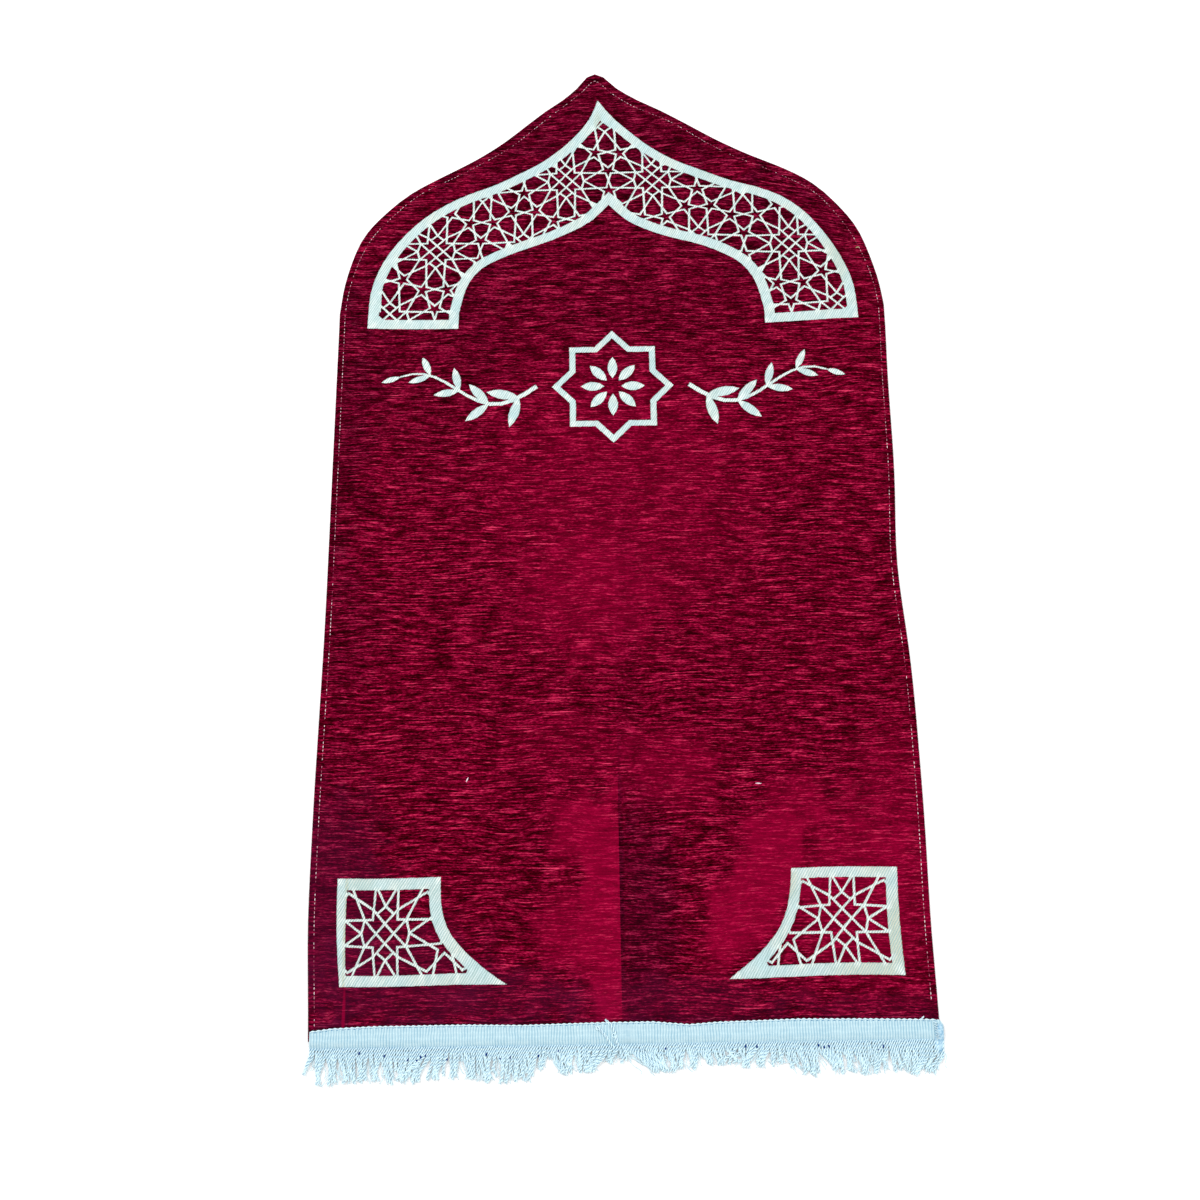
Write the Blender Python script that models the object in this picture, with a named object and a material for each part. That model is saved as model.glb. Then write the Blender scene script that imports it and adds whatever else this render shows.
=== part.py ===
"""Prayer rug of chenille cloth, cut to an ogee arch, with a fringe trim along its bottom end.

The cloth lies flat and face up. X runs across it, Y up towards the arch, Z is the height above the
floor, and the origin is the middle of the rug on the floor. Every size is in metres.

The cloth is one solid. Its pale figure is woven in: a band that follows the arch and two corner
pieces, each with a lattice of twelve-fold stars, and a star with two sprays in the middle. The figure
is flat weave, so it lies lower than the chenille pile around it. The trim is a woven tape with cords
that are fused to it at their roots only.
"""

import random
from math import atan2, ceil, cos, exp, pi, radians, sin, sqrt, tan

import bmesh
import bpy
from mathutils import Vector
from mathutils.geometry import delaunay_2d_cdt

# ---- Driving dimensions --------------------------------------------------------------------------

PILE_TOP = 0.0024  # the chenille ground
WOVEN_TOP = 0.0017  # the flat-woven figure
CLOTH_END = -0.5860  # the cut end, under the tape
CENTRING = (0.0004, 0.0006, 0.0)  # brings the middle of the rug, as it lies askew, to the origin
HEM_STITCH = 0.0085  # how far in the turned edge reaches
HEM_PROFILE = (
    # (distance from the edge, height)
    (0.0000, 0.0015),
    (0.0016, 0.0029),
    (HEM_STITCH, 0.0029),
    (0.0110, PILE_TOP),
)

BAND_BAR = 0.0130  # the plain bar round the arch band's lattice
CORNER_BAR = 0.0122
STRAND_WIDTH = 0.0028  # one line of the lattice
LEAST_OPENING = 7e-6  # in square metres: a smaller patch of ground between the lines is closed up

STAR_SPACING = 0.1130  # between two rosettes of the band
CORNER_STAR_SPACING = 0.1229
CORNER_STRETCH = 1.10  # the corner lattice is taller than it is wide
BAND_ROSETTE = (-0.0555, 0.4675)
CORNER_ROSETTE = (0.2525, -0.4715)
STRAND_LEAN = radians(17)  # between a line and the normal of the tile edge that it crosses

TAPE_DEPTH = 0.0220
TAPE_THICK = 0.0012
TAPE_TOP_EDGE = -0.5718
GAP = 0.0005  # between the tape and the cloth that it is sewn to
HEM_EASE = 0.0025  # how far before the side hems the tape starts to rise
STRANDS = 150
STRAND_LOCK = 6  # neighbouring cords that cling together
CORD_WIDTH = 0.0024
CORD_HEIGHT = 0.0018
CORD_LENGTH = 0.0365

# The cloth's edge, from the tip of the arch down to the straight side.
ARCH_EDGE = (
    # (height, half width)
    (0.6310, 0.0000),
    (0.6262, 0.0110),
    (0.6085, 0.0265),
    (0.5900, 0.0500),
    (0.5740, 0.0760),
    (0.5520, 0.1070),
    (0.5300, 0.1370),
    (0.5080, 0.1730),
    (0.4800, 0.2255),
    (0.4570, 0.2610),
    (0.4300, 0.2885),
    (0.3980, 0.3130),
    (0.3670, 0.3265),
    (0.3210, 0.3380),
    (0.2800, 0.3430),
)
SIDE_HALF_WIDTH = 0.3425
SIDE_EDGE = (
    # (height, half width)
    (0.1000, SIDE_HALF_WIDTH),
    (-0.2500, SIDE_HALF_WIDTH),
    (-0.4600, 0.3415),
    (CLOTH_END, 0.3395),
)

# The arch band's two edges.
BAND_OUTER = (
    # (height, half width)
    (0.5900, 0.0000),
    (0.5600, 0.0165),
    (0.5280, 0.0455),
    (0.5010, 0.0810),
    (0.4840, 0.1140),
    (0.4675, 0.1520),
    (0.4550, 0.1880),
    (0.4400, 0.2175),
    (0.4200, 0.2435),
    (0.3960, 0.2650),
    (0.3680, 0.2840),
    (0.3390, 0.2975),
    (0.3070, 0.3060),
    (0.2600, 0.3085),
)
BAND_INNER = (
    # (height, half width)
    (0.4310, 0.0000),
    (0.4090, 0.0215),
    (0.3950, 0.0450),
    (0.3830, 0.0730),
    (0.3740, 0.0990),
    (0.3660, 0.1210),
    (0.3550, 0.1450),
    (0.3420, 0.1660),
    (0.3220, 0.1810),
    (0.3000, 0.1885),
    (0.2800, 0.1930),
    (0.2580, 0.1937),
)

# The corner piece: its hollow inner side runs from the top bar down to a pointed toe.
CORNER_OUTER_X = 0.3095
CORNER_TOP_Y = -0.4140
CORNER_BOTTOM_Y = -0.5290
CORNER_HOLLOW = (
    # (height, distance from the middle line)
    (-0.4140, 0.1965),
    (-0.4360, 0.1955),
    (-0.4570, 0.1920),
    (-0.4760, 0.1840),
    (-0.4925, 0.1710),
    (-0.5090, 0.1525),
    (-0.5290, 0.1220),
)

# Long soft creases left by folding.
CREASE_REACH = 0.0090
CREASES = (
    # (x, height where it starts, height where it is full, rise)
    (0.0030, 0.3000, -0.4000, 0.0013),
    (-0.3050, -0.3900, -0.4700, 0.0012),
)

# A crease's cross-section, the same on both sides.
CREASE_SHAPE = (
    # (distance as a share of the reach, height as a share of the rise)
    (0.00, 1.00),
    (0.30, 0.84),
    (0.65, 0.24),
    (1.00, 0.00),
)

# Where the cloth lies a little askew: a push that fades out over the reach.
ASKEW = (
    # (x, y, push in x, push in y, reach)
    (0.0000, 0.6300, -0.0150, 0.0000, 0.0900),
    (-0.0600, 0.5500, 0.0000, 0.0010, 0.0600),
    (0.0700, 0.5500, 0.0000, -0.0020, 0.0600),
    (0.0350, 0.5480, 0.0030, 0.0000, 0.0400),
    (0.1300, 0.3850, 0.0000, 0.0030, 0.0500),
    (0.1700, 0.4650, 0.0000, -0.0025, 0.0450),
    (-0.1000, 0.3850, 0.0000, -0.0015, 0.0500),
    (0.2300, 0.4500, 0.0060, 0.0020, 0.1100),
    (-0.2100, 0.4600, 0.0060, -0.0060, 0.1100),
    (0.3000, 0.2700, 0.0040, 0.0040, 0.0700),
    (-0.2500, 0.2500, 0.0030, -0.0020, 0.0700),
    (0.3420, -0.0600, -0.0070, 0.0000, 0.0900),
    (-0.3420, -0.3600, -0.0040, 0.0000, 0.1600),
    (0.2500, -0.4700, -0.0075, 0.0050, 0.0800),
    (-0.2550, -0.4700, -0.0070, -0.0040, 0.0800),
    (0.1500, -0.5050, -0.0040, 0.0000, 0.0450),
    (-0.1250, -0.5250, -0.0040, -0.0015, 0.0350),
)

# The centre motif: a star ring and two sprays of leaves.
MOTIF_CENTRE = (0.0010, 0.1750)
STAR_RING_RADIUS = 0.0760
STAR_RING_BAR = 0.0078
STAR_HEART_RADIUS = 0.0300
STEM_START = 0.0960
STEM_END = 0.2650
STEM_WIDTH = 0.0060
LEAF_LENGTH = 0.0420
LEAF_WIDTH = 0.0130
LEAF_PAIRS = 4

WELD = 2e-5
LONGEST_SIDE = 0.0300  # longer lines are cut, so that they can follow askew cloth
STRAIGHT = 0.01  # two sides that turn by less count as one

PILE_RED = (0.185, 0.003, 0.020, 1.0)
FIGURE_MINT = (0.640, 0.760, 0.730, 1.0)
TRIM_BLUE = (0.530, 0.750, 0.850, 1.0)


# ---- Materials -----------------------------------------------------------------------------------


def cloth_material(name, color, roughness):
    """A matt cloth finish."""
    material = bpy.data.materials.new(name)
    material.use_nodes = True
    shader = material.node_tree.nodes["Principled BSDF"]
    shader.inputs["Base Color"].default_value = color
    shader.inputs["Roughness"].default_value = roughness
    shader.inputs["Metallic"].default_value = 0.0
    return material


# ---- Plane geometry ------------------------------------------------------------------------------


def smooth_curve(points, step):
    """Points about a step apart on a smooth curve through the given ones."""
    ends = [2 * points[0] - points[1]] + points + [2 * points[-1] - points[-2]]
    curve = []
    for before, start, end, after in zip(ends, ends[1:], ends[2:], ends[3:]):
        count = max(1, round((end - start).length / step))
        for i in range(count):
            t = i / count
            bend = 2 * start + (end - before) * t
            bend += (2 * before - 5 * start + 4 * end - after) * t**2
            bend += (3 * start - before - 3 * end + after) * t**3
            curve.append(bend / 2)
    return curve + [points[-1]]


def arch_line(table, step):
    """The whole line over the arch, left foot to right foot, from a table of heights and half widths."""
    right = smooth_curve([Vector((half, height)) for height, half in table], step)
    left = [Vector((-point.x, point.y)) for point in reversed(right[1:])]
    return left + right


def distance_to_line(point, line):
    """The shortest way from a point to an open line of points."""
    best = 1.0
    for start, end in zip(line, line[1:]):
        along = end - start
        t = (point - start).dot(along) / along.length_squared
        foot = start + along * min(1.0, max(0.0, t))
        best = min(best, (point - foot).length)
    return best


def sideways_step(before, after, distance):
    """How far to move a corner to the right, so that both the sides that meet there move the distance."""
    before, after = (before if before.length else after), (after if after.length else before)
    before, after = before.normalized(), after.normalized()
    mitre = (before + after).normalized()
    sideways = Vector((mitre.y, -mitre.x))
    return sideways * distance / max(0.2, sideways.dot(Vector((before.y, -before.x))))


def inset_line(line, distance):
    """The open line moved sideways to its right, with the points that would fold over left out."""
    moved = []
    for before, point, after in zip(line[:1] + line, line, line[1:] + line[-1:]):
        candidate = point + sideways_step(point - before, after - point, distance)
        if distance_to_line(candidate, line) > 0.97 * distance:
            moved.append(candidate)
    return moved


def inset_outline(outline, distance):
    """A closed clockwise outline made smaller all round."""
    rim = outline + outline[:1]
    inner = []
    for before, point, after in zip(outline[-1:] + outline, outline, rim[1:]):
        candidate = point + sideways_step(point - before, after - point, distance)
        if distance_to_line(candidate, rim) > 0.97 * distance:
            inner.append(candidate)
    return inner


def is_inside(point, outline):
    """Whether a point is inside a closed outline."""
    inside = False
    for start, end in zip(outline, outline[1:] + outline[:1]):
        if (start.y > point.y) != (end.y > point.y):
            crossing = start.x + (point.y - start.y) * (end.x - start.x) / (end.y - start.y)
            inside ^= point.x < crossing
    return inside


def crossings(start, end, outline):
    """How far along the line from start to end it crosses the outline, as fractions."""
    line = end - start
    found = []
    for first, second in zip(outline, outline[1:] + outline[:1]):
        edge = second - first
        area = line.cross(edge)
        if abs(area) > 1e-12:
            t = (first - start).cross(edge) / area
            s = (first - start).cross(line) / area
            if 0 < t < 1 and 0 <= s < 1:
                found.append(t)
    return sorted(found)


def line_inside(start, end, outline):
    """The parts of a line that lie inside an outline, run on a hair past it where they meet it."""
    stops = [0.0] + crossings(start, end, outline) + [1.0]
    past = 10 * WELD / (end - start).length
    parts = []
    for low, high in zip(stops, stops[1:]):
        if is_inside(start.lerp(end, (low + high) / 2), outline):
            low -= past * (low > 0)
            high += past * (high < 1)
            parts.append((start.lerp(end, low), start.lerp(end, high)))
    return parts


def outline_area(outline):
    """The area inside an outline, positive where it runs counter-clockwise."""
    return sum(a.cross(b) for a, b in zip(outline, outline[1:] + outline[:1])) / 2


def corners_of(sides, share):
    """Where each side meets the one before it, once all have moved in by the share of their insets."""
    corners = []
    for (start, along, inward), (other, other_along, other_inward) in zip(sides[-1:] + sides, sides):
        start = start + inward * share
        offset = other + other_inward * share - start
        corners.append(start + along * (offset.cross(other_along) / along.cross(other_along)))
    return corners


def without_straights(sides):
    """The sides of an outline without those that only carry on the one before, or none if it folds back."""
    kept = []
    for before, side in zip(sides[-1:] + sides, sides):
        if abs(before[1].cross(side[1])) > STRAIGHT:
            kept.append(side)
        elif before[1].dot(side[1]) < 0:
            return []
    return kept


def inset_cell(cell, insets):
    """A counter-clockwise outline with each side moved in by its inset, without those that shrink away."""
    sides = []
    for start, end, inset in zip(cell, cell[1:] + cell[:1], insets):
        along = (end - start).normalized()
        sides.append((start, along, Vector((-along.y, along.x)) * inset))
    sides = without_straights(sides)
    while len(sides) > 2:
        first, last = corners_of(sides, 0.0), corners_of(sides, 1.0)
        spent = []
        for i, (_, along, _) in enumerate(sides):
            j = (i + 1) % len(sides)
            before, after = (first[j] - first[i]).dot(along), (last[j] - last[i]).dot(along)
            if after < WELD:
                spent.append((before / max(WELD, before - after), i))
        if not spent:
            return last
        gone = min(spent)[1]
        sides = without_straights(sides[:gone] + sides[gone + 1:])
    return []


def stroke(start, end, width):
    """A straight bar, with its ends run on a little so that it overlaps its neighbours."""
    along = (end - start).normalized() * width / 2
    side = Vector((-along.y, along.x))
    start = start - along * 0.7
    end = end + along * 0.7
    return [start - side, start + side, end + side, end - side]


# ---- The star lattice ----------------------------------------------------------------------------


def turned(point, angle):
    """A point turned about the origin."""
    return Vector(
        (point.x * cos(angle) - point.y * sin(angle), point.x * sin(angle) + point.y * cos(angle))
    )


def polar(radius, degrees):
    """A point by its radius and its angle in degrees."""
    return Vector((radius * cos(radians(degrees)), radius * sin(radians(degrees))))


# A tile is a twelve-sided polygon of unit edge. Between two such tiles lie two five-sided ones.
TILE_CORNER = 0.5 / sin(radians(15))
TILE_MIDDLE = TILE_CORNER * cos(radians(15))
TILE_LINK = 1.0
TILE_PITCH = 2 * TILE_CORNER + TILE_LINK
# The petals' inner ends lie on a ring, straight inwards of the tile's corners.
RING_RADIUS = TILE_MIDDLE * (cos(radians(15)) - sin(radians(15)) / tan(radians(15) + STRAND_LEAN))
CORE_REACH = 0.36  # how far from the middle line the ring's top and bottom meet the long lines


def star_in(tile):
    """The star's lines in a convex tile: each leaves an edge's middle and meets the next edge's line."""
    count = len(tile)
    middles = [(tile[i] + tile[(i + 1) % count]) / 2 for i in range(count)]
    lines = []
    for i in range(count):
        following = (i + 1) % count
        edge = tile[following] - tile[i]
        next_edge = tile[(following + 1) % count] - tile[following]
        first = turned(edge.normalized(), pi / 2 - STRAND_LEAN)
        second = turned(-next_edge.normalized(), -(pi / 2 - STRAND_LEAN))
        across = middles[following] - middles[i]
        t = across.cross(second) / first.cross(second)
        meeting = middles[i] + first * t
        lines += [(middles[i], meeting), (middles[following], meeting)]
    return lines


def rosette():
    """The lines of one rosette: its petals and the crossed lines of its core."""
    ring = {angle: polar(RING_RADIUS, angle) for angle in range(0, 360, 30)}
    lines = []
    for angle in ring:
        for side in (-15, 15):
            lines.append((polar(TILE_MIDDLE, angle + side), ring[angle]))
    # Four long lines cross in the core.
    for start, end in ((120, 330), (150, 300), (60, 210), (30, 240)):
        lines.append((ring[start], ring[end]))
    # Beside them, the lines of the slanting petals run on and meet at a right angle.
    for quarter in (45, 135, 225, 315):
        for side in (-15, 15):
            rim = polar(TILE_MIDDLE, quarter + 2 * side)
            inward = (ring[(quarter + side) % 360] - rim).normalized()
            middle = polar(1, quarter)
            t = -rim.cross(middle) / inward.cross(middle)
            lines.append((ring[(quarter + side) % 360], rim + inward * t))
    # Above and below, the ring closes on the long lines; left and right it bends to the next ring point.
    step = ring[60].y - ring[60].x
    for up in (1, -1):
        for side in (1, -1):
            foot = Vector((side * CORE_REACH, up * (CORE_REACH + step)))
            lines.append((Vector((0, up * RING_RADIUS)), foot))
            lines.append((Vector((side * RING_RADIUS, 0)), Vector((side * ring[30].x, up * ring[30].y))))
    return lines


def link_stars():
    """The lines of the stars between a rosette and the three neighbours that come after it."""
    near = [polar(TILE_CORNER, 0), polar(TILE_CORNER, 30)]
    far = [Vector((TILE_PITCH - point.x, point.y)) for point in near]
    centroid = Vector((TILE_PITCH / 2, TILE_PITCH / sqrt(12)))
    upper = [near[0], far[0], far[1], centroid, near[1]]
    lower = [Vector((point.x, -point.y)) for point in reversed(upper)]
    lines = star_in(upper) + star_in(lower)
    return [
        (turned(start, radians(angle)), turned(end, radians(angle)))
        for angle in (0, 60, 120)
        for start, end in lines
    ]


def lattice_lines(window, rosette_at, spacing, stretch, mirror):
    """The middle line of every lattice strand that shows in the window."""
    scale = spacing / TILE_PITCH
    pattern = rosette() + link_stars()
    lines = []
    for row in range(-5, 6):
        for column in range(-6, 7):
            shift = Vector((column + (row % 2) / 2, row * sqrt(0.75))) * TILE_PITCH
            for start, end in pattern:
                ends = []
                for point in (start, end):
                    place = (point + shift) * scale
                    place = Vector((place.x, place.y * stretch)) + Vector(rosette_at)
                    ends.append(Vector((place.x * mirror, place.y)))
                lines += line_inside(ends[0], ends[1], window)
    return lines


def joined_cells(triangles, walls):
    """Joins the triangles that no wall parts, and gives each joined cell as a loop of corner numbers."""
    owner = {pair: i for i, face in enumerate(triangles) for pair in zip(face, face[1:] + face[:1])}
    group = list(range(len(triangles)))

    def root(i):
        while group[i] != i:
            i = group[i]
        return i

    for (a, b), i in owner.items():
        if (b, a) in owner and frozenset((a, b)) not in walls:
            group[root(i)] = root(owner[b, a])
    following = {}
    for (a, b), i in owner.items():
        if (b, a) not in owner or root(owner[b, a]) != root(i):
            following.setdefault(root(i), {})[a] = b
    loops = []
    for steps in following.values():
        loop = [next(iter(steps))]
        while steps[loop[-1]] != loop[0]:
            loop.append(steps[loop[-1]])
        loops.append(loop)
    return loops


def is_simple(outline):
    """Whether no two sides of an outline cross."""
    rim = zip(outline, outline[1:] + outline[:1])
    return not any(0.001 < t < 0.999 for start, end in rim for t in crossings(start, end, outline))


def joined_places(points):
    """The different places among the points, and for each point the number of its place."""
    places, numbers = [], []
    for point in points:
        near = [i for i, place in enumerate(places) if (place - point).length < 5 * WELD]
        numbers.append(near[0] if near else len(places))
        if not near:
            places.append(point)
    return places, numbers


def lattice_openings(window, lines):
    """The patches of ground that show between the strands, each a counter-clockwise outline."""
    rim = list(range(len(window)))
    places, numbers = joined_places(window + [point for line in lines for point in line])
    ends = numbers[len(window):]
    edges = [(start, end) for start, end in zip(ends[::2], ends[1::2]) if start != end]
    places, drawn, triangles, _, sources, inside = delaunay_2d_cdt(places, edges, [rim], 0, WELD, True)
    walls = {frozenset(pair) for pair, source in zip(drawn, sources) if source}
    triangles = [list(face) for face, held in zip(triangles, inside) if held]
    openings = []
    for loop in joined_cells(triangles, walls):
        cell = [places[i] for i in loop]
        insets = []
        for start, end in zip(cell, cell[1:] + cell[:1]):
            on_rim = distance_to_line((start + end) / 2, window + window[:1]) < WELD
            insets.append(0.0 if on_rim else STRAND_WIDTH / 2)
        opening = inset_cell(cell, insets)
        if opening and LEAST_OPENING < outline_area(opening) and is_simple(opening):
            openings.append(opening)
    return openings


# ---- The figure ----------------------------------------------------------------------------------


def band_outline():
    """The arch band, clockwise from its left foot."""
    outer = arch_line(BAND_OUTER, 0.014)
    inner = arch_line(BAND_INNER, 0.014)
    return outer + inner[::-1]


def corner_outline(mirror):
    """A corner piece, clockwise: mirror is 1 for the right one and -1 for the left one."""
    hollow = smooth_curve([Vector((x, y)) for y, x in CORNER_HOLLOW], 0.011)
    right = [Vector((CORNER_OUTER_X, CORNER_TOP_Y)), Vector((CORNER_OUTER_X, CORNER_BOTTOM_Y))]
    right += hollow[::-1]
    if mirror > 0:
        return right
    return [Vector((-point.x, point.y)) for point in reversed(right)]


def star_points(radius, notch, count=8):
    """A star with the given number of points: notch is the radius between them."""
    step = 180 / count
    return [polar(notch if i % 2 else radius, 90 + i * step) for i in range(2 * count)]


def leaf(root, angle, length, width):
    """A pointed leaf."""
    outline = []
    for side in (1, -1):
        for i in range(5):
            t = i / 5 if side > 0 else 1 - i / 5
            outline.append(Vector((t * length, side * width / 2 * sin(pi * t) ** 0.8)))
    return [root + turned(point, angle) for point in outline]


def stem_point(t):
    """The spray's stem, from the star outwards, as it swings down and up again."""
    x = STEM_START + (STEM_END - STEM_START) * t
    return Vector((x, -0.022 * sin(2 * pi * t * 0.85)))


def spray():
    """One spray: a tapering stem with leaves in pairs, and one at its tip."""
    shapes = []
    steps = 12
    for i in range(steps):
        taper = 1 - 0.6 * i / steps
        shapes.append(stroke(stem_point(i / steps), stem_point((i + 1) / steps), STEM_WIDTH * taper))
    for i in range(LEAF_PAIRS + 1):
        t = 0.12 + 0.88 * i / LEAF_PAIRS
        way = stem_point(t) - stem_point(t - 0.05)
        heading = atan2(way.y, way.x)
        size = 1 - 0.10 * i
        spread = (0,) if i == LEAF_PAIRS else (radians(42), -radians(42))
        for turn in spread:
            shapes.append(leaf(stem_point(t), heading + turn, LEAF_LENGTH * size, LEAF_WIDTH * size))
    return shapes


def motif():
    """The shapes of the centre motif, and the shapes that are cut out of them."""
    centre = Vector(MOTIF_CENTRE)
    notch = STAR_RING_RADIUS * cos(radians(45)) / cos(radians(22.5))
    inner = STAR_RING_RADIUS - STAR_RING_BAR * sqrt(2)
    ring = star_points(STAR_RING_RADIUS, notch)
    opening = star_points(inner, notch * inner / STAR_RING_RADIUS)
    petals = [leaf(polar(0.010, a), radians(a), STAR_HEART_RADIUS, 0.0125) for a in range(0, 360, 45)]
    shapes = [ring]
    for side in spray():
        shapes.append(side)
        shapes.append([Vector((-point.x, point.y)) for point in side])
    return [
        [[centre + point for point in outline] for outline in outlines]
        for outlines in (shapes, [opening], petals)
    ]


# ---- The cloth's plan ----------------------------------------------------------------------------


class Plan:
    """Outlines and lines drawn on the cloth, each outline under a name."""

    def __init__(self):
        self.points, self.lines, self.outlines, self.names = [], [], [], []

    def add(self, name, outline):
        if outline_area(outline) < 0:
            outline = outline[::-1]
        first = len(self.points)
        self.points += outline
        self.outlines.append(list(range(first, first + len(outline))))
        self.names.append(name)

    def add_line(self, start, end):
        first = len(self.points)
        self.points += [start, end]
        self.lines.append((first, first + 1))

    def triangles(self):
        """The plan's points and its triangles, each with the names of the outlines around it."""
        points, _, faces, _, _, inside = delaunay_2d_cdt(
            self.points, self.lines, self.outlines, 0, WELD, True
        )
        return points, [(face, {self.names[i] for i in held}) for face, held in zip(faces, inside)]


def cloth_edge():
    """The hemmed edge, from the left end of the bottom over the arch to the right end."""
    arch = arch_line(ARCH_EDGE, 0.016)
    side = smooth_curve([Vector((half, height)) for height, half in ARCH_EDGE[-1:] + SIDE_EDGE], 0.070)
    left = [Vector((-point.x, point.y)) for point in reversed(side[1:])]
    return left + arch + side[1:]


def divided(points):
    """The line with more points on it, so that no side is longer than the longest allowed."""
    shorter = []
    for start, end in zip(points, points[1:]):
        count = ceil((end - start).length / LONGEST_SIDE)
        shorter += [start.lerp(end, i / count) for i in range(count)]
    return shorter + [points[-1]]


def short_sided(outline):
    """The closed outline with its long sides divided."""
    return divided(outline + outline[:1])[:-1]


def crease_lines():
    """Lines along each crease, where its round back bends, as short pieces."""
    lines = []
    for x, start, full, _ in CREASES:
        for across in sorted({side * share for share, _ in CREASE_SHAPE for side in (-1, 1)}):
            place = x + across * CREASE_REACH
            points = divided([Vector((place, y)) for y in (start, full, CLOTH_END - 0.01)])
            lines += zip(points, points[1:])
    return lines


def between(table, x):
    """Reads a two-column table at x, along straight lines."""
    for (low, first), (high, second) in zip(table, table[1:]):
        if x <= high:
            return first + (second - first) * (x - low) / (high - low)
    return table[-1][1]


def crease_lift(x, y):
    """How far a crease lifts the cloth off the floor."""
    lift = 0.0
    for place, start, full, rise in CREASES:
        along = min(1.0, max(0.0, (start - y) / (start - full)))
        lift += rise * along * between(CREASE_SHAPE, abs(x - place) / CREASE_REACH)
    return lift


def draw_plan(edge):
    """Everything that shapes the face of the cloth."""
    plan = Plan()
    plan.add("cloth", short_sided(edge))
    for depth, _ in HEM_PROFILE[1:]:
        half = SIDE_HALF_WIDTH - depth
        below = [Vector((x, CLOTH_END - 0.02)) for x in (half, -half)]
        plan.add(f"hem {depth}", short_sided(inset_line(edge, depth) + below))
    frames = [(band_outline(), BAND_BAR, BAND_ROSETTE, STAR_SPACING, 1.0, 1)]
    for mirror in (-1, 1):
        outline = corner_outline(mirror)
        frames.append((outline, CORNER_BAR, CORNER_ROSETTE, CORNER_STAR_SPACING, CORNER_STRETCH, mirror))
    for outline, bar, rosette_at, spacing, stretch, mirror in frames:
        window = inset_outline(outline, bar)[::-1]
        plan.add("frame", short_sided(outline))
        lines = lattice_lines(window, rosette_at, spacing, stretch, mirror)
        for opening in lattice_openings(window, lines):
            plan.add("opening", opening)
    shapes, cuts, petals = motif()
    for name, outlines in (("shape", shapes), ("cut", cuts), ("petal", petals)):
        for outline in outlines:
            plan.add(name, outline)
    for start, end in crease_lines():
        plan.add_line(start, end)
    return plan


def is_woven(names):
    """Whether a patch inside these outlines belongs to the pale figure."""
    frame = "frame" in names and "opening" not in names
    drawn = "shape" in names and "cut" not in names
    return frame or drawn or "petal" in names


def crease_strip(x):
    """The strip between two crease lines that a place belongs to."""
    return sum(x > place for place in {start.x for start, _ in crease_lines()})


def merged_plan(plan):
    """The plan as few faces, in a mesh whose material index is odd on the figure.

    Faces are merged and cut where the cloth lies askew, so that none of them folds over there.
    """
    points, patches = plan.triangles()
    patches = [(face, names) for face, names in patches if "cloth" in names]
    mesh = bmesh.new()
    corners = [mesh.verts.new((point.x, point.y, 0)) for point in points]
    for face, names in patches:
        made = mesh.faces.new([corners[i] for i in face])
        rings = sum(name.startswith("hem") for name in names)
        strip = crease_strip(sum(points[i].x for i in face) / 3)
        made.material_index = is_woven(names) + 2 * rings + 16 * strip
    bmesh.ops.remove_doubles(mesh, verts=mesh.verts, dist=3 * WELD)
    loose = [vertex for vertex in mesh.verts if not vertex.link_faces]
    bmesh.ops.delete(mesh, geom=loose, context="VERTS")
    flat = mesh.verts.layers.float_vector.new("flat")
    for vertex in mesh.verts:
        vertex[flat] = vertex.co
        vertex.co = askew(vertex.co.x, vertex.co.y).to_3d()
    bmesh.ops.dissolve_limit(
        mesh, angle_limit=radians(0.2), verts=mesh.verts, edges=mesh.edges, delimit={"MATERIAL"}
    )
    bmesh.ops.triangulate(mesh, faces=mesh.faces, quad_method="BEAUTY", ngon_method="BEAUTY")
    for vertex in mesh.verts:
        vertex.co = vertex[flat]
    mesh.verts.index_update()
    return mesh


# ---- The cloth -----------------------------------------------------------------------------------


def hem_height(distance):
    """The pile's height, by the distance from the hemmed edge."""
    for (near, low), (far, high) in zip(HEM_PROFILE, HEM_PROFILE[1:]):
        if distance < far:
            return low + (high - low) * (distance - near) / (far - near)
    return PILE_TOP


def askew(x, y):
    """Where a point of the flat plan lies on the floor."""
    moved = Vector((x, y))
    for at_x, at_y, push_x, push_y, reach in ASKEW:
        fade = exp(-(((x - at_x) ** 2 + (y - at_y) ** 2) / reach**2))
        moved += Vector((push_x, push_y)) * fade
    return moved


def boundary_loop(mesh):
    """The plan's outer corners in order."""
    following = {}
    for edge in mesh.edges:
        if len(edge.link_faces) == 1:
            loop = edge.link_loops[0]
            following[loop.vert] = loop.link_loop_next.vert
    start = next(iter(following))
    order = [start]
    while following[order[-1]] is not start:
        order.append(following[order[-1]])
    return order


class Shell:
    """The cloth's closed mesh: each corner of the plan has one point on each level."""

    def __init__(self, edge):
        self.mesh = bmesh.new()
        self.edge = edge
        self.made = {}

    def point(self, x, y, level):
        key = (round(x, 6), round(y, 6), level)
        if key not in self.made:
            height = {"floor": 0.0, "figure": WOVEN_TOP}.get(level)
            if level == "pile":
                height = hem_height(distance_to_line(Vector((x, y)), self.edge))
            place = askew(x, y)
            self.made[key] = self.mesh.verts.new((place.x, place.y, height + crease_lift(x, y)))
        return self.made[key]

    def face(self, corners, material):
        made = self.mesh.faces.new([self.point(*corner) for corner in corners])
        made.material_index = material


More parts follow.
